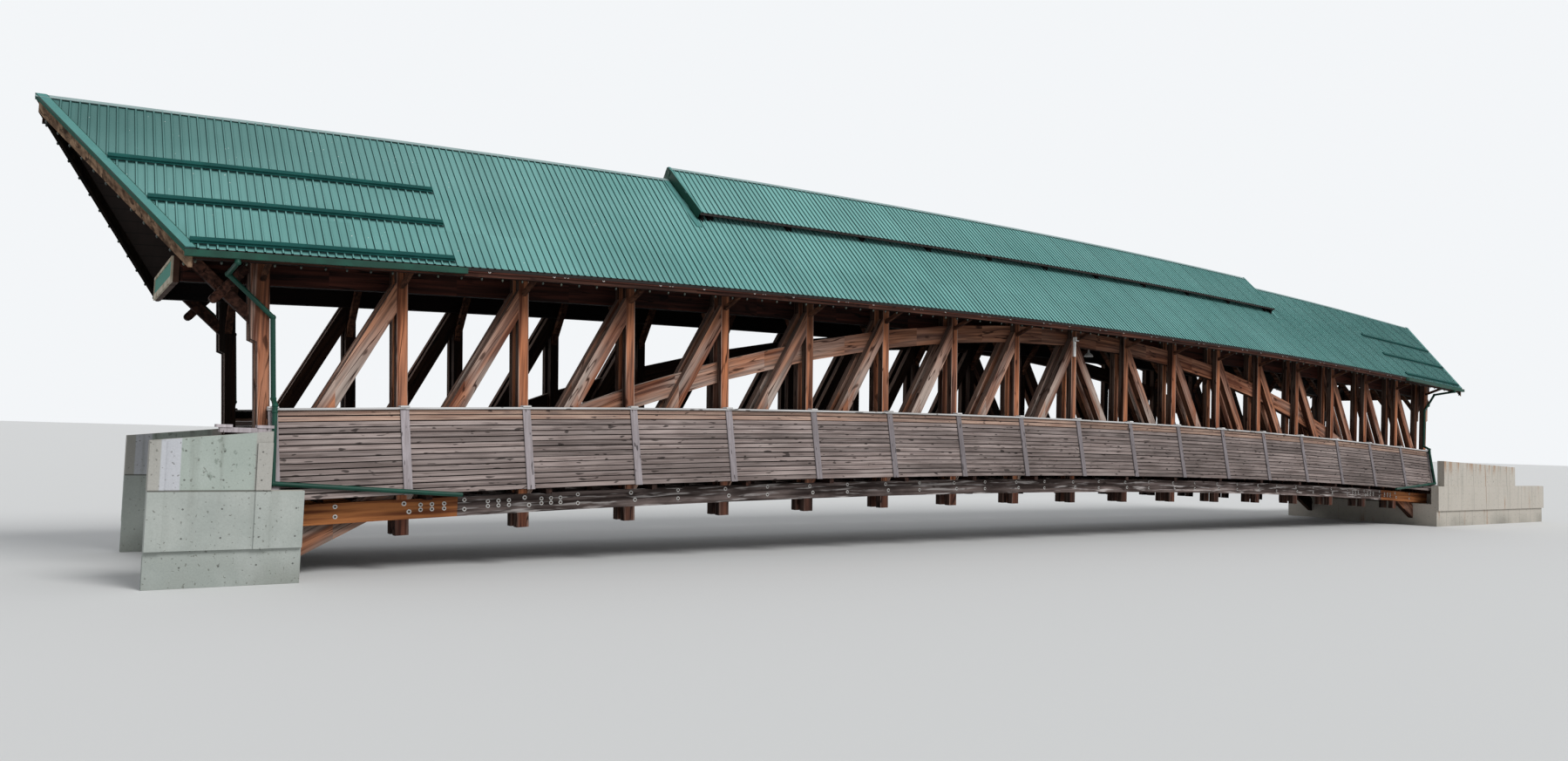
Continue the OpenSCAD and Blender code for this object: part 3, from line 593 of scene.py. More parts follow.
def boards_below(sh, paint, fine):
    """The sheets' underside shows dark boards, painted darker still as shade, and their edges at the eave
    and the rakes are dark.
    """
    y = sh.place()[1]
    seam = abs((abs(y) * 9.0).fraction() - 0.5).between(0.46, 0.49)
    boards = sh.mix(fine, (0.012, 0.008, 0.007), (0.026, 0.016, 0.013))
    boards = sh.mix(seam, boards, (0.003, 0.002, 0.002))
    paint = sh.mix(sh.facing(2).between(-0.15, -0.3), paint, boards)
    paint = sh.mix(abs(sh.facing(1)).between(0.85, 0.93), paint, (0.016, 0.012, 0.010))
    return sh.mix(abs(sh.facing(0)).between(0.5, 0.7), paint, (0.012, 0.070, 0.050))


def painted_trim(name, base, worn, gloss=0.5, rough=0.34):
    """Paint that is worn in patches."""
    sh = Shader(name, Specular_IOR_Level=gloss)
    patch = sh.noise(sh.point(), 5.0, 4.0).between(0.45, 0.72)
    fine = sh.noise(sh.point(), 90.0)
    paint = sh.shade(sh.mix(patch, base, worn), 0.88 + fine * 0.22)
    return sh.done(paint, fine, 0.001, 0.15, rough + patch * 0.2)


def concrete():
    """Cast walls: pours, chalky patches, streaks below the top, form-tie holes and rust at the right."""
    sh = Shader("cast_concrete", roughness=0.9, Specular_IOR_Level=0.25)
    place = sh.place()
    x, _, z = place
    side = abs(sh.facing(1)).between(0.8, 0.9)
    right = x.between(*RIGHT_WALL_X)
    cloud = sh.noise(sh.point(), 1.3, 5.0).between(0.30, 0.70)
    chalk = sh.stretched(place, (2.3, 2.3, 1.38), detail=4.0).between(0.54, 0.74)
    fine = sh.noise(sh.point(), 60.0, 4.0, 0.65)
    paint = sh.mix(cloud, (0.315, 0.345, 0.320), (0.405, 0.430, 0.400))
    paint = sh.mix(chalk * 0.45, paint, (0.500, 0.525, 0.505))
    paint = parapet_strips(sh, paint)
    paint = sh.mix(right * 0.75, paint, (0.540, 0.480, 0.415))

    streak = sh.stretched(place, (9.0, 9.0, 0.7), detail=4.0).between(0.52, 0.74) * z.between(-1.1, 0.2)
    paint = sh.mix(streak * 0.55, paint, (0.190, 0.195, 0.168))
    rust = sh.stretched(place, (7.0, 7.0, 0.5), detail=3.0).between(0.60, 0.72)
    rust = rust * sh.noise(sh.point(), 1.1).between(0.46, 0.62) * right
    drips = sh.stretched(place, (11.0, 11.0, 0.8)).between(0.50, 0.64)
    drips = drips * x.between(*DRIP_X) * z.between(*DRIP_Z)
    paint = sh.mix(rust.most(drips * 0.9) * 0.75, paint, (0.330, 0.165, 0.075))
    # Darker towards the foot of the walls.
    darker_foot = z.between(-0.75, -1.15) * cloud
    paint = sh.mix(darker_foot * 0.55, paint, (0.120, 0.125, 0.100))

    hole = tie_holes(x, z) * side
    pit = sh.noise(sh.point(), 34.0, 1.0).between(0.68, 0.74)
    paint = sh.mix(hole * 0.75, paint, (0.070, 0.070, 0.062))
    paint = sh.mix(pit * 0.60, paint, (0.13, 0.13, 0.11))
    paint = sh.shade(paint, 0.84 + fine * 0.32)
    # Painted light: faces that look up are paler.
    upper = sh.facing(2).between(0.7, 0.9)
    paint = sh.mix(upper * 0.6, paint, (0.620, 0.590, 0.500))
    joint = abs((x / FORM_W + 0.5).fraction() - 0.5).between(0.012, 0.006) * right * side
    ledge = abs(z - WING_TOP).between(0.010, 0.005) * x.between(*LEDGE_X) * side
    paint = sh.mix((joint * 0.5).most(ledge * 0.8), paint, (0.070, 0.068, 0.056))
    return sh.done(paint, fine * 0.5 - hole - pit * 0.5, 0.006, 0.5)


def parapet_strips(sh, paint):
    """The left parapets' pale bluish strip, their stained green panel, and grey on both sides of these."""
    place = sh.place()
    x, _, z = place
    left = x.between(*LEFT_WALL_X) * z.between(WING_TOP - 0.004, WING_TOP + 0.004)
    past = [x.between(edge - CAST_BLUR, edge + CAST_BLUR) for edge in CAST_XS]
    bluish = left * past[0] * (1 - past[1])
    green = left * past[1] * (1 - past[2])
    grey = left * past[2].most(1 - past[0])
    blots = sh.stretched(place, (14.4, 14.4, 9.9), detail=3.0).between(0.60, 0.66)
    paint = sh.mix(grey * 0.65, paint, (0.400, 0.370, 0.335))
    paint = sh.mix(bluish * 0.85, paint, (0.520, 0.525, 0.560))
    paint = sh.mix(green * 0.55, paint, (0.360, 0.420, 0.370))
    return sh.mix(green * blots * 0.55, paint, (0.150, 0.180, 0.150))


def tie_holes(x, z):
    """Round holes on a grid, by the squared distance from their centres in square centimetres."""
    across = ((x / TIE_PITCH_X + 0.25).fraction() - 0.5) * (TIE_PITCH_X * 100)
    up = ((z / TIE_PITCH_Z + 0.30).fraction() - 0.5) * (TIE_PITCH_Z * 100)
    return (across * across + up * up).between(0.85, 0.55)


def galvanised():
    """Zinc with its spangle, and rust on the nuts, which have a low tint."""
    sh = Shader("galvanised_steel", roughness=0.5, Metallic=0.55)
    spangle = sh.noise(sh.point(), 160.0)
    zinc = sh.mix(spangle, (0.46, 0.45, 0.43), (0.72, 0.71, 0.68))
    rust = sh.mix(spangle, (0.030, 0.018, 0.014), (0.110, 0.060, 0.040))
    return sh.done(sh.mix(sh.tint().between(0.6, 0.4), zinc, rust), spangle, 0.0005, 0.2)


# The finishes

post_timber = heavy_timber("post_timber", "z", WARM, DEEP, 0.15, 0.88, edge=0.65, side=0.26)
brace_timber = heavy_timber(
    "brace_timber", "brace", (0.380, 0.165, 0.090), DEEP, 0.95, 0.85, side=0.40
)
arch_timber = heavy_timber("arch_timber", "arch", (0.400, 0.175, 0.095), DEEP, 0.90, 0.85, side=0.5)
beam_timber = heavy_timber("beam_timber", "x", BEAM, BEAM_DEEP, 0.05)
top_chord_timber = heavy_timber(
    "top_chord_timber", "x", (0.085, 0.024, 0.015), (0.024, 0.008, 0.006), 0.04, 0.85
)
purlin_timber = heavy_timber(
    "purlin_timber", "x", (0.150, 0.058, 0.036), (0.060, 0.022, 0.015), 0.2, 0.7
)
cross_timber = heavy_timber("cross_timber", "y", BEAM, BEAM_DEEP, 0.05)
strut_timber = heavy_timber(
    "strut_timber", "y", (0.300, 0.130, 0.072), (0.130, 0.048, 0.030), 0.2, 0.4, side=0.7
)
rafter_timber = heavy_timber("rafter_timber", "slope", BEAM, BEAM_DEEP, 0.05)
shaded_timber = heavy_timber(
    "shaded_timber", "slope", (0.012, 0.009, 0.008), (0.006, 0.004, 0.004), 0.0, silver=BEAM
)
foot_timber = heavy_timber(
    "foot_timber", "z", (0.200, 0.075, 0.045), (0.055, 0.020, 0.014), 0.05, 0.75, edge=0.3
)
rake_timber = heavy_timber(
    "rake_timber", "slope", (0.500, 0.325, 0.205), (0.250, 0.135, 0.080), 0.2, 0.93, side=0.9
)
portal_timber = heavy_timber(
    "portal_timber", "y", (0.140, 0.058, 0.038), (0.050, 0.020, 0.014), 0.15, 0.3, side=0.8
)
chord_timber = bottom_chord_timber()
skirt_wood = sawn_boards("skirt_boards", "x", SKIRT_TONES, 1.1, (SKIRT_DIM_X, 0.22), shade_gaps=True)
upper_wood = sawn_boards("upper_skirt_boards", "x", UPPER_TONES, 1.1, (SKIRT_DIM_X, 0.22), shade_gaps=True)
batten_wood = sawn_boards("batten_wood", "z", BATTEN_TONES, 0.5, (BATTEN_DIM_X, 0.42))
cap_wood = sawn_boards("rail_cap_wood", "x", CAP_TONES, 0.4)
deck_wood = sawn_boards("deck_wood", "y", DECK_TONES, 0.6)
fascia_wood = sawn_boards("fascia_wood", "x", FASCIA_TONES, 0.7)

sheet_green = roof_sheet("green_roof_sheet")
rib_green = roof_sheet("green_rib_sheet", ribs=True)
trim_green = painted_trim("green_trim", (0.005, 0.044, 0.029), (0.010, 0.072, 0.048), 0.25, 0.45)
stop_green = painted_trim("green_stops", (0.006, 0.060, 0.054), (0.012, 0.084, 0.074), 0.12, 0.7)
flat_green = painted_trim("green_flats", (0.086, 0.240, 0.222), (0.104, 0.270, 0.250), 0.15, 0.6)
ridge_green = painted_trim("green_ridge_cap", (0.250, 0.345, 0.335), (0.310, 0.400, 0.390), 0.2, 0.5)
# Near-black paint for strips that stand for the shade in the roof's pans.
pan_shade_paint = painted_trim("painted_pan_shade", (0.006, 0.024, 0.022), (0.010, 0.034, 0.030))
cream_paint = painted_trim("cream_frame", (0.500, 0.445, 0.350), (0.300, 0.240, 0.170), 0.1, 0.7)
sign_back = painted_trim("sign_back", (0.060, 0.030, 0.020), (0.036, 0.018, 0.013), 0.1, 0.7)
panel_green = painted_trim("green_panel", (0.070, 0.240, 0.190), (0.095, 0.280, 0.225), 0.1, 0.7)
white_enamel = painted_trim("white_enamel", (0.860, 0.860, 0.840), (0.700, 0.700, 0.670))
lamp_glass = painted_trim("dark_glass", (0.020, 0.030, 0.024), (0.060, 0.070, 0.050))

steel = galvanised()
stone = concrete()

FINISHES = {
    post_timber: ("near_posts", "far_posts"),
    brace_timber: ("near_braces", "far_braces"),
    arch_timber: ("near_arch", "far_arch"),
    top_chord_timber: ("near_top_chord", "far_top_chord"),
    beam_timber: ("ridge_beam", "rail_girts"),
    purlin_timber: ("eave_purlins",),
    cross_timber: ("tie_beams", "floor_joists", "skirt_brackets"),
    strut_timber: ("knee_braces", "eave_struts"),
    rafter_timber: ("rafters",),
    shaded_timber: ("raised_roof_rafters",),
    foot_timber: ("post_feet",),
    rake_timber: ("rake_boards",),
    portal_timber: ("portal_braces",),
    chord_timber: ("near_bottom_chord", "far_bottom_chord"),
    batten_wood: ("skirt_battens",),
    cap_wood: ("rail_caps",),
    sheet_green: ("near_roof", "far_roof", "raised_roof"),
    ridge_green: ("ridge_flashing",),
    trim_green: ("gutters", "downspouts"),
    sign_back: ("sign_boards",),
    stone: (
        "left_abutment",
        "left_backwall",
        "left_wing_walls",
        "right_abutment",
        "right_backwall",
        "right_wing_walls",
    ),
}
for finish, names in FINISHES.items():
    for name in names:
        nodes[name].data.materials.clear()
        nodes[name].data.materials.append(finish)


# The visible pieces: roof, eaves, skirts, deck, bolts and fixtures


class Slope:
    """One slope of a roof. side is -1 near and 1 far, and y is measured outwards from the ridge."""

    def __init__(self, side, top, ridge_end, eave_end, eave_y):
        self.side, self.top = side, top
        self.ridge_end, self.eave_y = ridge_end, eave_y
        self.lean = (ridge_end - eave_end) / eave_y

    def point(self, x, y, up):
        """A point on the slope, raised square to it."""
        length = math.hypot(1, SLOPE)
        z = self.top + roof_fall(x) - SLOPE * y + up / length
        return Vector((x, self.side * (y + up * SLOPE / length), z))

    def bar(self, piece, a, b, width, low, high, parts=1):
        """A flat bar between plan points a and b. Its width (x, y) runs inwards from their line."""
        rings = []
        for k in range(parts + 1):
            x, y = (a[j] + (b[j] - a[j]) * k / parts for j in (0, 1))
            inner_x, inner_y = x - width[0], y - width[1]
            rings.append(
                [
                    self.point(x, y, low),
                    self.point(inner_x, inner_y, low),
                    self.point(inner_x, inner_y, high),
                    self.point(x, y, high),
                ]
            )
        for start, end in zip(rings, rings[1:]):
            piece.loft(start, end)

    def rake_strip(self, piece, end, tip, corner, width, low, high):
        """A bar down the rake at one end, its tip and corner written for the right end."""
        a, b = (end * tip[0], tip[1]), (end * corner[0], corner[1])
        self.bar(piece, a, b, (end * width, 0.0), low, high)

    def rib_places(self):
        """Each rib's number and x, with the y where the eave or the rake cuts it off."""
        shortest = 0.03
        count = int(2 * self.ridge_end / RIB_PITCH)
        for k in range(count):
            x = (k - (count - 1) / 2) * RIB_PITCH
            end = min(self.eave_y, (self.ridge_end - TRIM_W - abs(x)) / self.lean)
            if end > RIDGE_STRIP + shortest:
                yield k, x, end

    def ribs(self, piece):
        """Trapezoid ribs down the slope; they pass the eave by a little."""
        lap, overhang = 0.01, 0.006
        for k, x, end in self.rib_places():
            foot = end + (overhang if end == self.eave_y else 0.0)
            rings = [
                [self.point(x + dx, y, up) for dx, up in RIB_PROFILE]
                for y in (RIDGE_STRIP - lap, foot)
            ]
            piece.loft(*rings, tint=LAP_TINT if k % LAP_RIBS == 0 else RIB_TINT)

    def pan_shades(self, piece, row, inner):
        """Dark strips across the pans that stand for painted shade, row from the ridge in plan, further
        from midspan than inner.
        """
        half, width = RIB_PITCH / 2 - 0.011, 0.006
        for _, x, end in self.rib_places():
            middle = x + RIB_PITCH / 2 * (1 if x < 0 else -1)
            if end > row + 0.01 and abs(middle) > inner:
                a, b = (middle - half, row), (middle + half, row)
                self.bar(piece, a, b, (0.0, width), 0.0005, RIB_H - 0.002)

    def ridge_strip(self, piece, x0, x1):
        """A bent strip over the ribs' upper ends, from x0 to x1."""
        if x1 <= x0:
            return
        rise, peak_rise, peak_t = RIB_H + 0.004, 0.004, 0.006
        rings = []
        for x in (x0, x1):
            low = self.point(x, RIDGE_STRIP, rise)
            under = self.point(x, RIDGE_STRIP, rise - STRIP_T)
            peak = Vector((x, 0.0, self.top + roof_fall(x) + peak_rise))
            rings.append([peak, low, under, peak - Vector((0, 0, peak_t))])
        piece.loft(*rings)


MAIN = [Slope(side, RIDGE_H, RIDGE_END, EAVE_END, EAVE_Y) for side in (-1, 1)]
RAISED = [
    Slope(side, RAISED_TOP, RAISED_END + TRIM_W, RAISED_EAVE_END + TRIM_W, RAISED_Y)
    for side in (-1, 1)
]


def rib_pieces():
    """The ribs of the four slopes, and dark strips of painted shade in the pans below the snow stops and
    the ridge's strips.
    """
    shade_gaps = Piece("pan_shade_strips", pan_shade_paint, "roof_metal")
    strip_row = RIDGE_STRIP + 0.006
    for which, main, raised in zip(("near", "far"), MAIN, RAISED):
        for part, slope in (("roof", main), ("raised_roof", raised)):
            ribs = Piece(f"{which}_{part}_ribs", rib_green, "roof_metal")
            slope.ribs(ribs)
            ribs.make()
        for y in STOP_ROWS:
            main.pan_shades(shade_gaps, y + STOP_W + 0.020, HALF - STOP_IN)
        main.pan_shades(shade_gaps, strip_row, RAISED_END)
        raised.pan_shades(shade_gaps, strip_row, 0.0)
    shade_gaps.make()


def ridge_strips():
    """Strips over the main ridge and the raised one, cut at the posts."""
    caps = Piece("ridge_caps", ridge_green, "roof_metal", ("ridge_flashing",))
    for i in range(BAYS):
        x0, x1 = bay_ends(i, RIDGE_END)
        for main, raised in zip(MAIN, RAISED):
            main.ridge_strip(caps, x0, min(x1, -RAISED_END))
            main.ridge_strip(caps, max(x0, RAISED_END), x1)
            raised.ridge_strip(caps, max(x0, -RAISED_END), min(x1, RAISED_END))
    caps.make()


def rake_trims():
    """Flat trims on the rakes and beside the raised roof, and thin dark edges outside and inside them."""
    flats = Piece("rake_trims", flat_green, "roof_metal")
    edges = Piece("roof_edge_trims", trim_green, "green_pipe")
    for main, raised in zip(MAIN, RAISED):
        for end in (-1, 1):
            tip, corner = (RIDGE_END - 0.001, 0.004), (EAVE_END - 0.001, EAVE_Y)
            main.rake_strip(flats, end, tip, corner, TRIM_W, 0.0, RIB_H + 0.002)
            tip, corner = (RIDGE_END, TIP_Y), (EAVE_END, EAVE_Y)
            main.rake_strip(edges, end, tip, corner, EDGE_T, -EDGE_DROP, RIB_H + 0.004)
            tip, corner = (RIDGE_END - TRIM_W, TIP_Y), (EAVE_END - TRIM_W, EAVE_Y)
            main.rake_strip(edges, end, tip, corner, HEM_W, 0.0, RIB_H + 0.001)
            tip, corner = (RAISED_END + EDGE_T, TIP_Y), (RAISED_EAVE_END + EDGE_T, RAISED_Y)
            raised.rake_strip(edges, end, tip, corner, EDGE_T, -RAISED_EDGE_DROP, RIB_H + 0.002)
            tip, corner = (RAISED_END, TIP_Y), (RAISED_EAVE_END, RAISED_Y)
            raised.rake_strip(flats, end, tip, corner, RAISED_TRIM_W, 0.0, RIB_H + 0.003)
            tip = RAISED_END + FLASHING_W, RIDGE_STRIP
            corner = RAISED_EAVE_END + FLASHING_W, RAISED_Y + 0.05
            main.rake_strip(flats, end, tip, corner, FLASHING_W, 0.0, RIB_H + 0.001)
    flats.make()
    edges.make()


def snow_stops():
    """Three bars at each end of each slope, each with a thin lip below it."""
    stops = Piece("snow_stop_bars", stop_green, "roof_metal", ("snow_stops",))
    lips = Piece("snow_stop_lips", stop_green, "roof_metal")
    for main in MAIN:
        for end in (-1, 1):
            for row in STOP_ROWS:
                y = row + STOP_W
                x0, x1 = HALF - STOP_IN, RIDGE_END - main.lean * y - TRIM_W + 0.006
                a, b = (end * x0, y), (end * x1, y)
                top = RIB_H + STOP_H
                main.bar(stops, a, b, (0.0, STOP_W), RIB_H, top, STOP_PARTS)
                a, b = (end * x0, y + LIP_W), (end * x1, y + LIP_W)
                main.bar(lips, a, b, (0.0, LIP_W), RIB_H, RIB_H + LIP_H, STOP_PARTS)
    stops.make()
    lips.make()


def eave_pieces():
    """Fascia boards below the eaves, and the small lamps that hang in rows below eaves and rakes."""
    boards = Piece("eave_fascia_boards", fascia_wood, "timber")
    lamps = Piece("eave_lamp_rows", lamp_glass, "lamp_enamel", smooth=True)
    for side in (-1, 1):
        fascia_run(boards, side)
        eave_lamps(lamps, side)
        rake_lamps(lamps, side)
    boards.make()
    lamps.make()


def fascia_run(boards, side):
    """One board in each bay, over the outer face of the eave purlin."""
    y0, y1 = PURLIN_Y + HAIR, PURLIN_Y + FASCIA_T
    under = RIDGE_H - ROOF_T - 0.001
    section = (
        (y0, FASCIA_BASE),
        (y0, under - SLOPE * y0),
        (y1, under - SLOPE * y1),
        (y1, FASCIA_BASE),
    )
    for i in range(BAYS):
        rings = [
            [Vector((x, side * y, z + roof_fall(x))) for y, z in section]
            for x in bay_ends(i, EAVE_END - FASCIA_IN, 0.001)
        ]
        boards.loft(*rings, tint=chance.random())


def eave_lamps(lamps, side):
    """Lamps below the eave purlin, a little unevenly spaced."""
    count = int(2 * EAVE_END / LAMP_PITCH)
    y = PURLIN_Y + HAIR - 0.020
    for k in range(count + 1):
        x = (k - count / 2) * LAMP_PITCH + chance.uniform(-0.02, 0.02)
        hang(lamps, Vector((x, side * y, PURLIN_BASE + roof_fall(x))))


def rake_lamps(lamps, side):
    """Lamps below the rake boards at both ends of a slope."""
    for end in (-1, 1):
        for k in range(RAKE_LAMPS):
            t = (k + 0.6) / RAKE_LAMPS
            x = end * (RIDGE_END + (EAVE_END - RIDGE_END) * t - 0.045)
            z = RIDGE_H - SLOPE * EAVE_Y * t + roof_fall(x) - ROOF_T - RAKE_D
            hang(lamps, Vector((x, side * EAVE_Y * t, z)))


def hang(piece, at):
    """A small lamp in its socket, hanging from a point."""
    profile = (0.002, 0.004), (-0.010, 0.008), (-0.016, 0.012), (-0.028, 0.010), (-0.036, 0.003)
    piece.turned(at, (0, 0, 1), profile, 7)


def skirt_pieces():
    """Horizontal boards in each bay, closed at the back and open in narrow gaps at the face."""
    pitch = (SKIRT_TOP - SKIRT_FOOT) / SKIRT_BOARDS
    for side, which in ((-1, "near"), (1, "far")):
        plain = Piece(f"{which}_skirt_boards", skirt_wood, "weathered_boards", (f"{which}_skirt",))
        upper = Piece(f"{which}_upper_skirt_boards", upper_wood, "weathered_boards")
        for i in range(BAYS):
            for k in range(SKIRT_BOARDS):
                low, high = SKIRT_FOOT + k * pitch + HAIR, SKIRT_FOOT + (k + 1) * pitch - HAIR
                face_low = low + BOARD_GAP * chance.uniform(0.3, 0.8)
                face_high = high - BOARD_GAP * chance.uniform(0.3, 0.8)
                proud = chance.uniform(-0.0015, 0.0010)
                profile = (
                    (low, -SKIRT_T),
                    (low, -SKIRT_T / 2),
                    (face_low, -SKIRT_T / 2),
                    (face_low, proud),
                    (face_high, proud - 0.001),
                    (face_high, -SKIRT_T / 2),
                    (high, -SKIRT_T / 2),
                    (high, -SKIRT_T),
                )
                rings = [
                    [on_curve(s, h, side * (skirt_outer(h) + off)) for h, off in profile]
                    for s in bay_ends(i, SKIRT_END - 0.0005, 0.0005)
                ]
                row = plain if k < SKIRT_BOARDS - UPPER_BOARDS else upper
                row.loft(*rings, tint=chance.random())
        plain.make()
        upper.make()


def rail_post_caps():
    """A low cap on the rail over each post."""
    caps = Piece("rail_post_caps", cap_wood, "weathered_boards")
    last = SKIRT_END - 0.045
    for side in (-1, 1):
        y0, y1 = side * (SKIRT_Y - 0.058), side * (SKIRT_Y + 0.040)
        for i in range(BAYS + 1):
            s = min(max(station(i), -last), last)
            rings = []
            for rise, half in ((0.0, 0.046), (0.012, 0.046), (0.018, 0.038)):
                corners = (-half, y0), (half, y0), (half, y1), (-half, y1)
                rings.append([on_curve(s + ds, RAIL_H + rise, y) for ds, y in corners])
            caps.loft(*rings, tint=chance.random())
    caps.make()


def deck_piece():
    """Boards across the deck, with their undersides a little uneven."""
    deck = Piece("deck_boards", deck_wood, "weathered_boards", ("deck",))
    count = round(2 * CHORD_END / DECK_BOARD)
    pitch = 2 * CHORD_END / count
    w = INNER_Y - 0.001
    for k in range(count):
        s0 = -CHORD_END + k * pitch + DECK_GAP / 2
        s1 = s0 + pitch - DECK_GAP
        low = -DECK_T + chance.uniform(0.0, 0.001)
        corners = (low, -w), (low, w), (0.0, w), (0.0, -w)
        rings = [[on_curve(s, h, y) for h, y in corners] for s in (s0, s1)]
        deck.loft(*rings, tint=chance.random())
    deck.make()


def bolt(piece, at, axis, radius):
    """A round washer, and the nut on it."""
    piece.turned(at, axis, ((0, radius), (0.004, radius), (0.0045, radius * 0.9)), 14, 1.0)
    nut = radius * 0.52
    piece.turned(at, axis, ((0.004, nut), (0.012, nut), (0.014, nut * 0.8)), 6, 0.0)


def bolts():
    piece = Piece("bolts_and_washers", steel, "lamp_enamel")
    for side in (-1, 1):
        out, face = (0, side, 0), side * TRUSS_Y
        for i in range(BAYS):
            for ds, h in CHORD_BOLTS:
                bolt(piece, on_curve(station(i) + ds, h, face), out, CHORD_WASHER)
            for h in BRACE_BOLT_HEIGHTS:
                bolt(piece, on_curve(station(i) + BAY / 2, h, face), out, SPLICE_WASHER)
        for s in SPLICES:
            for end in (-1, 1):
                for h in SPLICE_HEIGHTS:
                    bolt(piece, on_curve(end * s, h, face), out, SPLICE_WASHER)
        for i in range(BAYS):
            for dx, radius in EAVE_BOLTS:
                x = station(i) + dx
                z = FASCIA_BASE + 0.014 + roof_fall(x)
                bolt(piece, Vector((x, side * (PURLIN_Y + 0.013), z)), out, radius)
    piece.make()


def sign_pieces():
    """A bare panel in a painted frame on each portal's sign board. The bottom rail is double."""
    panel = Piece("sign_panels", panel_green, "sign_panel")
    rails = Piece("sign_frames", cream_paint, "sign_panel")
    low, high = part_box("sign_boards")
    depth, rail = 0.009, 0.030
    y0, y1 = low.y + rail, high.y - rail
    z0, z1 = low.z + rail * 2, high.z - rail
    for end in (-1, 1):
        x = end * high.x
        x0, x1 = sorted((x, x + end * depth))
        panel.box((x0, y0, z0), (x1, y1, z1))
        x0, x1 = sorted((x, x + end * depth * 2))
        rails.box((x0, low.y, z1), (x1, high.y, high.z), 0.2)
        rails.box((x0, low.y, low.z), (x1, high.y, z0), 0.6)
        rails.box((x0, low.y, z0), (x1, y0, z1), 0.4)
        rails.box((x0, y1, z0), (x1, high.y, z1), 0.8)
    panel.make()
    rails.make()


def lamp_pieces():
    """The pendant lamp near midspan: its shade on a thin rod, and its bulb."""
    low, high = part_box("lamps")
    x, y = (low.x + high.x) / 2, (low.y + high.y) / 2
    r = (high.x - low.x) / 2
    up, neck, rod = (0, 0, 1), 0.126, 0.006
    outer = (
        (neck, r * 0.08),
        (0.120, r * 0.20),
        (0.085, r * 0.22),
        (0.070, r * 0.30),
        (0.045, r * 0.70),
        (0.018, r * 0.98),
        (0.0, r),
    )
    inner = (0.001, r * 0.97), (0.018, r * 0.94), (0.045, r * 0.66), (0.068, r * 0.24)
    shade = Piece("lamp_shade", white_enamel, "lamp_enamel", ("lamps",), smooth=True)
    shade.turned((x, y, low.z), up, outer + inner, 32)
    shade.turned((x, y, low.z + neck), up, ((0, rod), (high.z - low.z - neck, rod)), 8)
    shade.make()
    bulb = Piece("lamp_bulb", white_enamel, "lamp_enamel", smooth=True)
    profile = (0, 0.002), (0.006, 0.016), (0.02, 0.022), (0.036, 0.018), (0.056, 0.012)
    bulb.turned((x, y, low.z + 0.012), up, profile, 16)
    bulb.make()


def conduit_boxes():
    """A long box and a short one on the near truss's middle post."""
    boxes = Piece("post_conduit_boxes", white_enamel, "lamp_enamel")
    x, y = station(BAYS // 2), -TRUSS_Y
    boxes.box((x - 0.030, y - 0.030, 1.72), (x + 0.010, y, 1.98))
    boxes.box((x - 0.045, y - 0.075, 1.96), (x + 0.025, y - 0.012, 2.02))
    boxes.make()


def parapet_planks():
    """Loose planks on the parapet at the left, on the near side only: a long one and two across it."""
    planks = Piece("parapet_planks", batten_wood, "weathered_boards")
    top = WING_TOP + PARAPET_H
    y0, y1 = -(WING_Y - 0.015), -(WING_Y - 0.128)
    low, middle, high, past = top - 0.018, top + 0.026, top + 0.052, 0.01
    planks.box((-HALF - 0.44, y0, low), (-HALF - 0.02, y1, middle), 0.1)
    planks.box((-HALF - 0.47, y0 - past, middle), (-HALF - 0.34, y1 + past, high), 0.9)
    planks.box((-HALF - 0.14, y0 - past, middle), (-HALF, y1 + past, high), 0.7)
    planks.make()


# Floor, light and camera


def stage():
    """A plain pale floor under the walls' feet."""
    half, z = FLOOR_SIZE, FOOT - 0.001
    mesh = bpy.data.meshes.new("floor")
    corners = [(x * half, y * half, z) for x, y in ((-1, -1), (1, -1), (1, 1), (-1, 1))]
    mesh.from_pydata(corners, [], [(0, 1, 2, 3)])
    mesh.materials.append(Shader("pale_floor", roughness=0.9).done(FLOOR_COLOUR))
    floor = bpy.data.objects.new("floor", mesh)
    bpy.context.scene.collection.objects.link(floor)


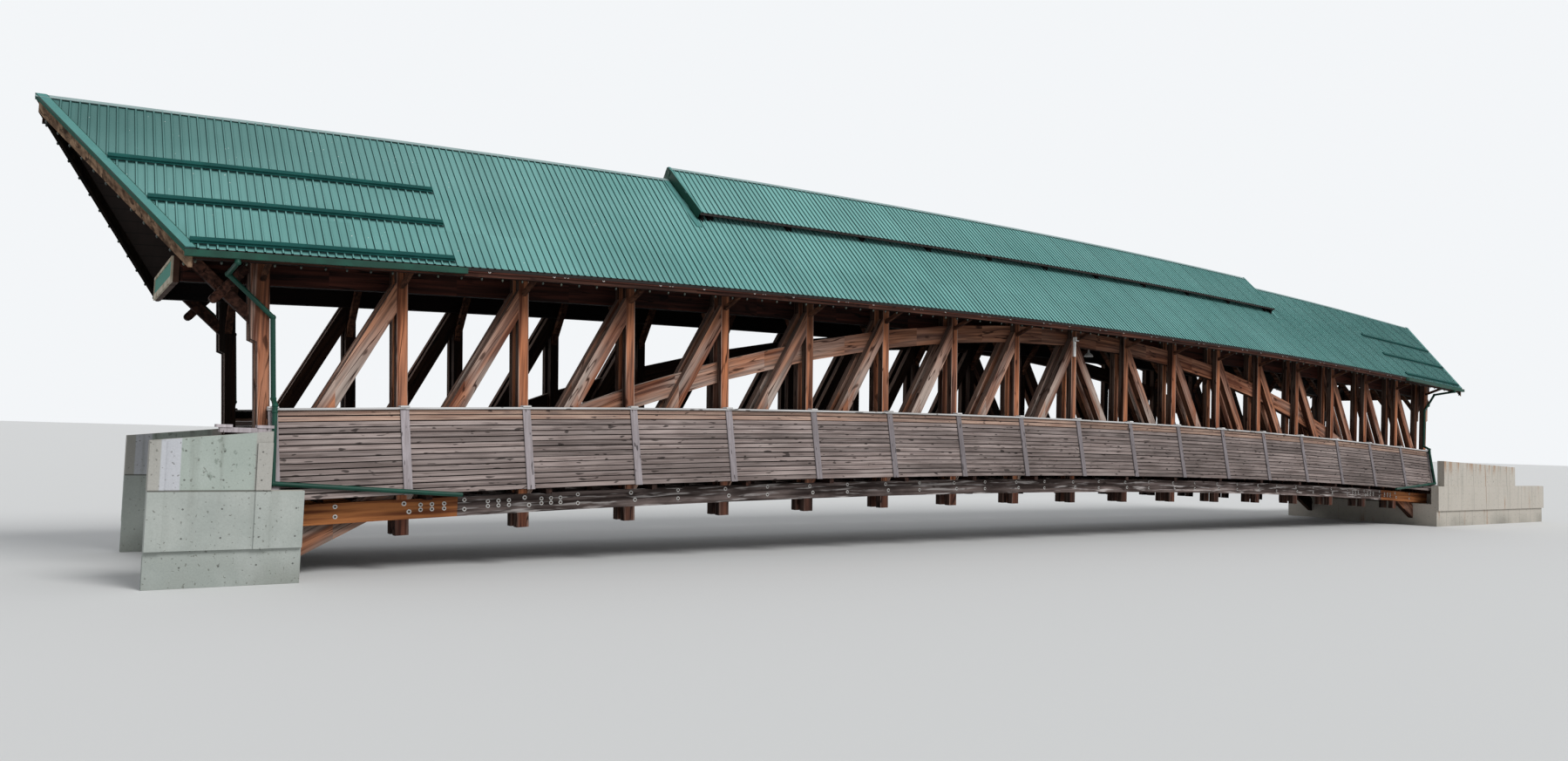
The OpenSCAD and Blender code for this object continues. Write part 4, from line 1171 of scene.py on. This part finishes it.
def lights():
    """A soft sun and a pale sky, which is brighter where it is seen than as a light."""
    sky = Sky("sky")
    bpy.context.scene.world = sky.world
    seen = sky.ray("Is Camera Ray").most(sky.ray("Is Glossy Ray"))
    seen = seen.most(sky.ray("Is Transmission Ray"))
    light = sky.node("ShaderNodeBackground", {"Color": SKY_LIGHT, "Strength": SKY_STRENGTH})
    pale = sky.node("ShaderNodeBackground", {"Color": SKY_SEEN})
    pick = sky.node("ShaderNodeMixShader", (seen, light, pale))
    sky.feed(sky.tree.nodes["World Output"].inputs["Surface"], pick)
    sun = bpy.data.lights.new("soft_sun", "SUN")
    sun.energy = SUN_STRENGTH
    sun.angle = math.radians(SUN_ANGLE)
    lamp = bpy.data.objects.new("soft_sun", sun)
    lamp.rotation_mode = "QUATERNION"
    lamp.rotation_quaternion = SUN_FROM.to_track_quat("Z", "Y")
    bpy.context.scene.collection.objects.link(lamp)


def camera():
    """The photo's camera: its yaw is measured from +Y towards +X."""
    yaw, pitch, roll = CAMERA_YAW, CAMERA_PITCH, CAMERA_ROLL
    forward = Vector(
        (math.sin(yaw) * math.cos(pitch), math.cos(yaw) * math.cos(pitch), math.sin(pitch))
    )
    level = Vector((math.cos(yaw), -math.sin(yaw), 0))
    upright = level.cross(forward)
    right = level * math.cos(roll) + upright * math.sin(roll)
    up = upright * math.cos(roll) - level * math.sin(roll)
    lens = bpy.data.cameras.new("photo_camera")
    lens.sensor_width = SENSOR
    lens.lens = SENSOR * FOCAL_PIXELS / PHOTO_WIDTH
    lens.clip_end = 1000
    view = bpy.data.objects.new("photo_camera", lens)
    view.rotation_mode = "QUATERNION"
    view.rotation_quaternion = Matrix((right, up, -forward)).transposed().to_quaternion()
    view.location = CAMERA_PLACE
    bpy.context.scene.collection.objects.link(view)
    bpy.context.scene.camera = view


rib_pieces()
ridge_strips()
rake_trims()
snow_stops()
eave_pieces()
skirt_pieces()
rail_post_caps()
deck_piece()
bolts()
sign_pieces()
lamp_pieces()
conduit_boxes()
parapet_planks()
stage()
lights()
camera()
bpy.context.scene.view_settings.view_transform = "Standard"
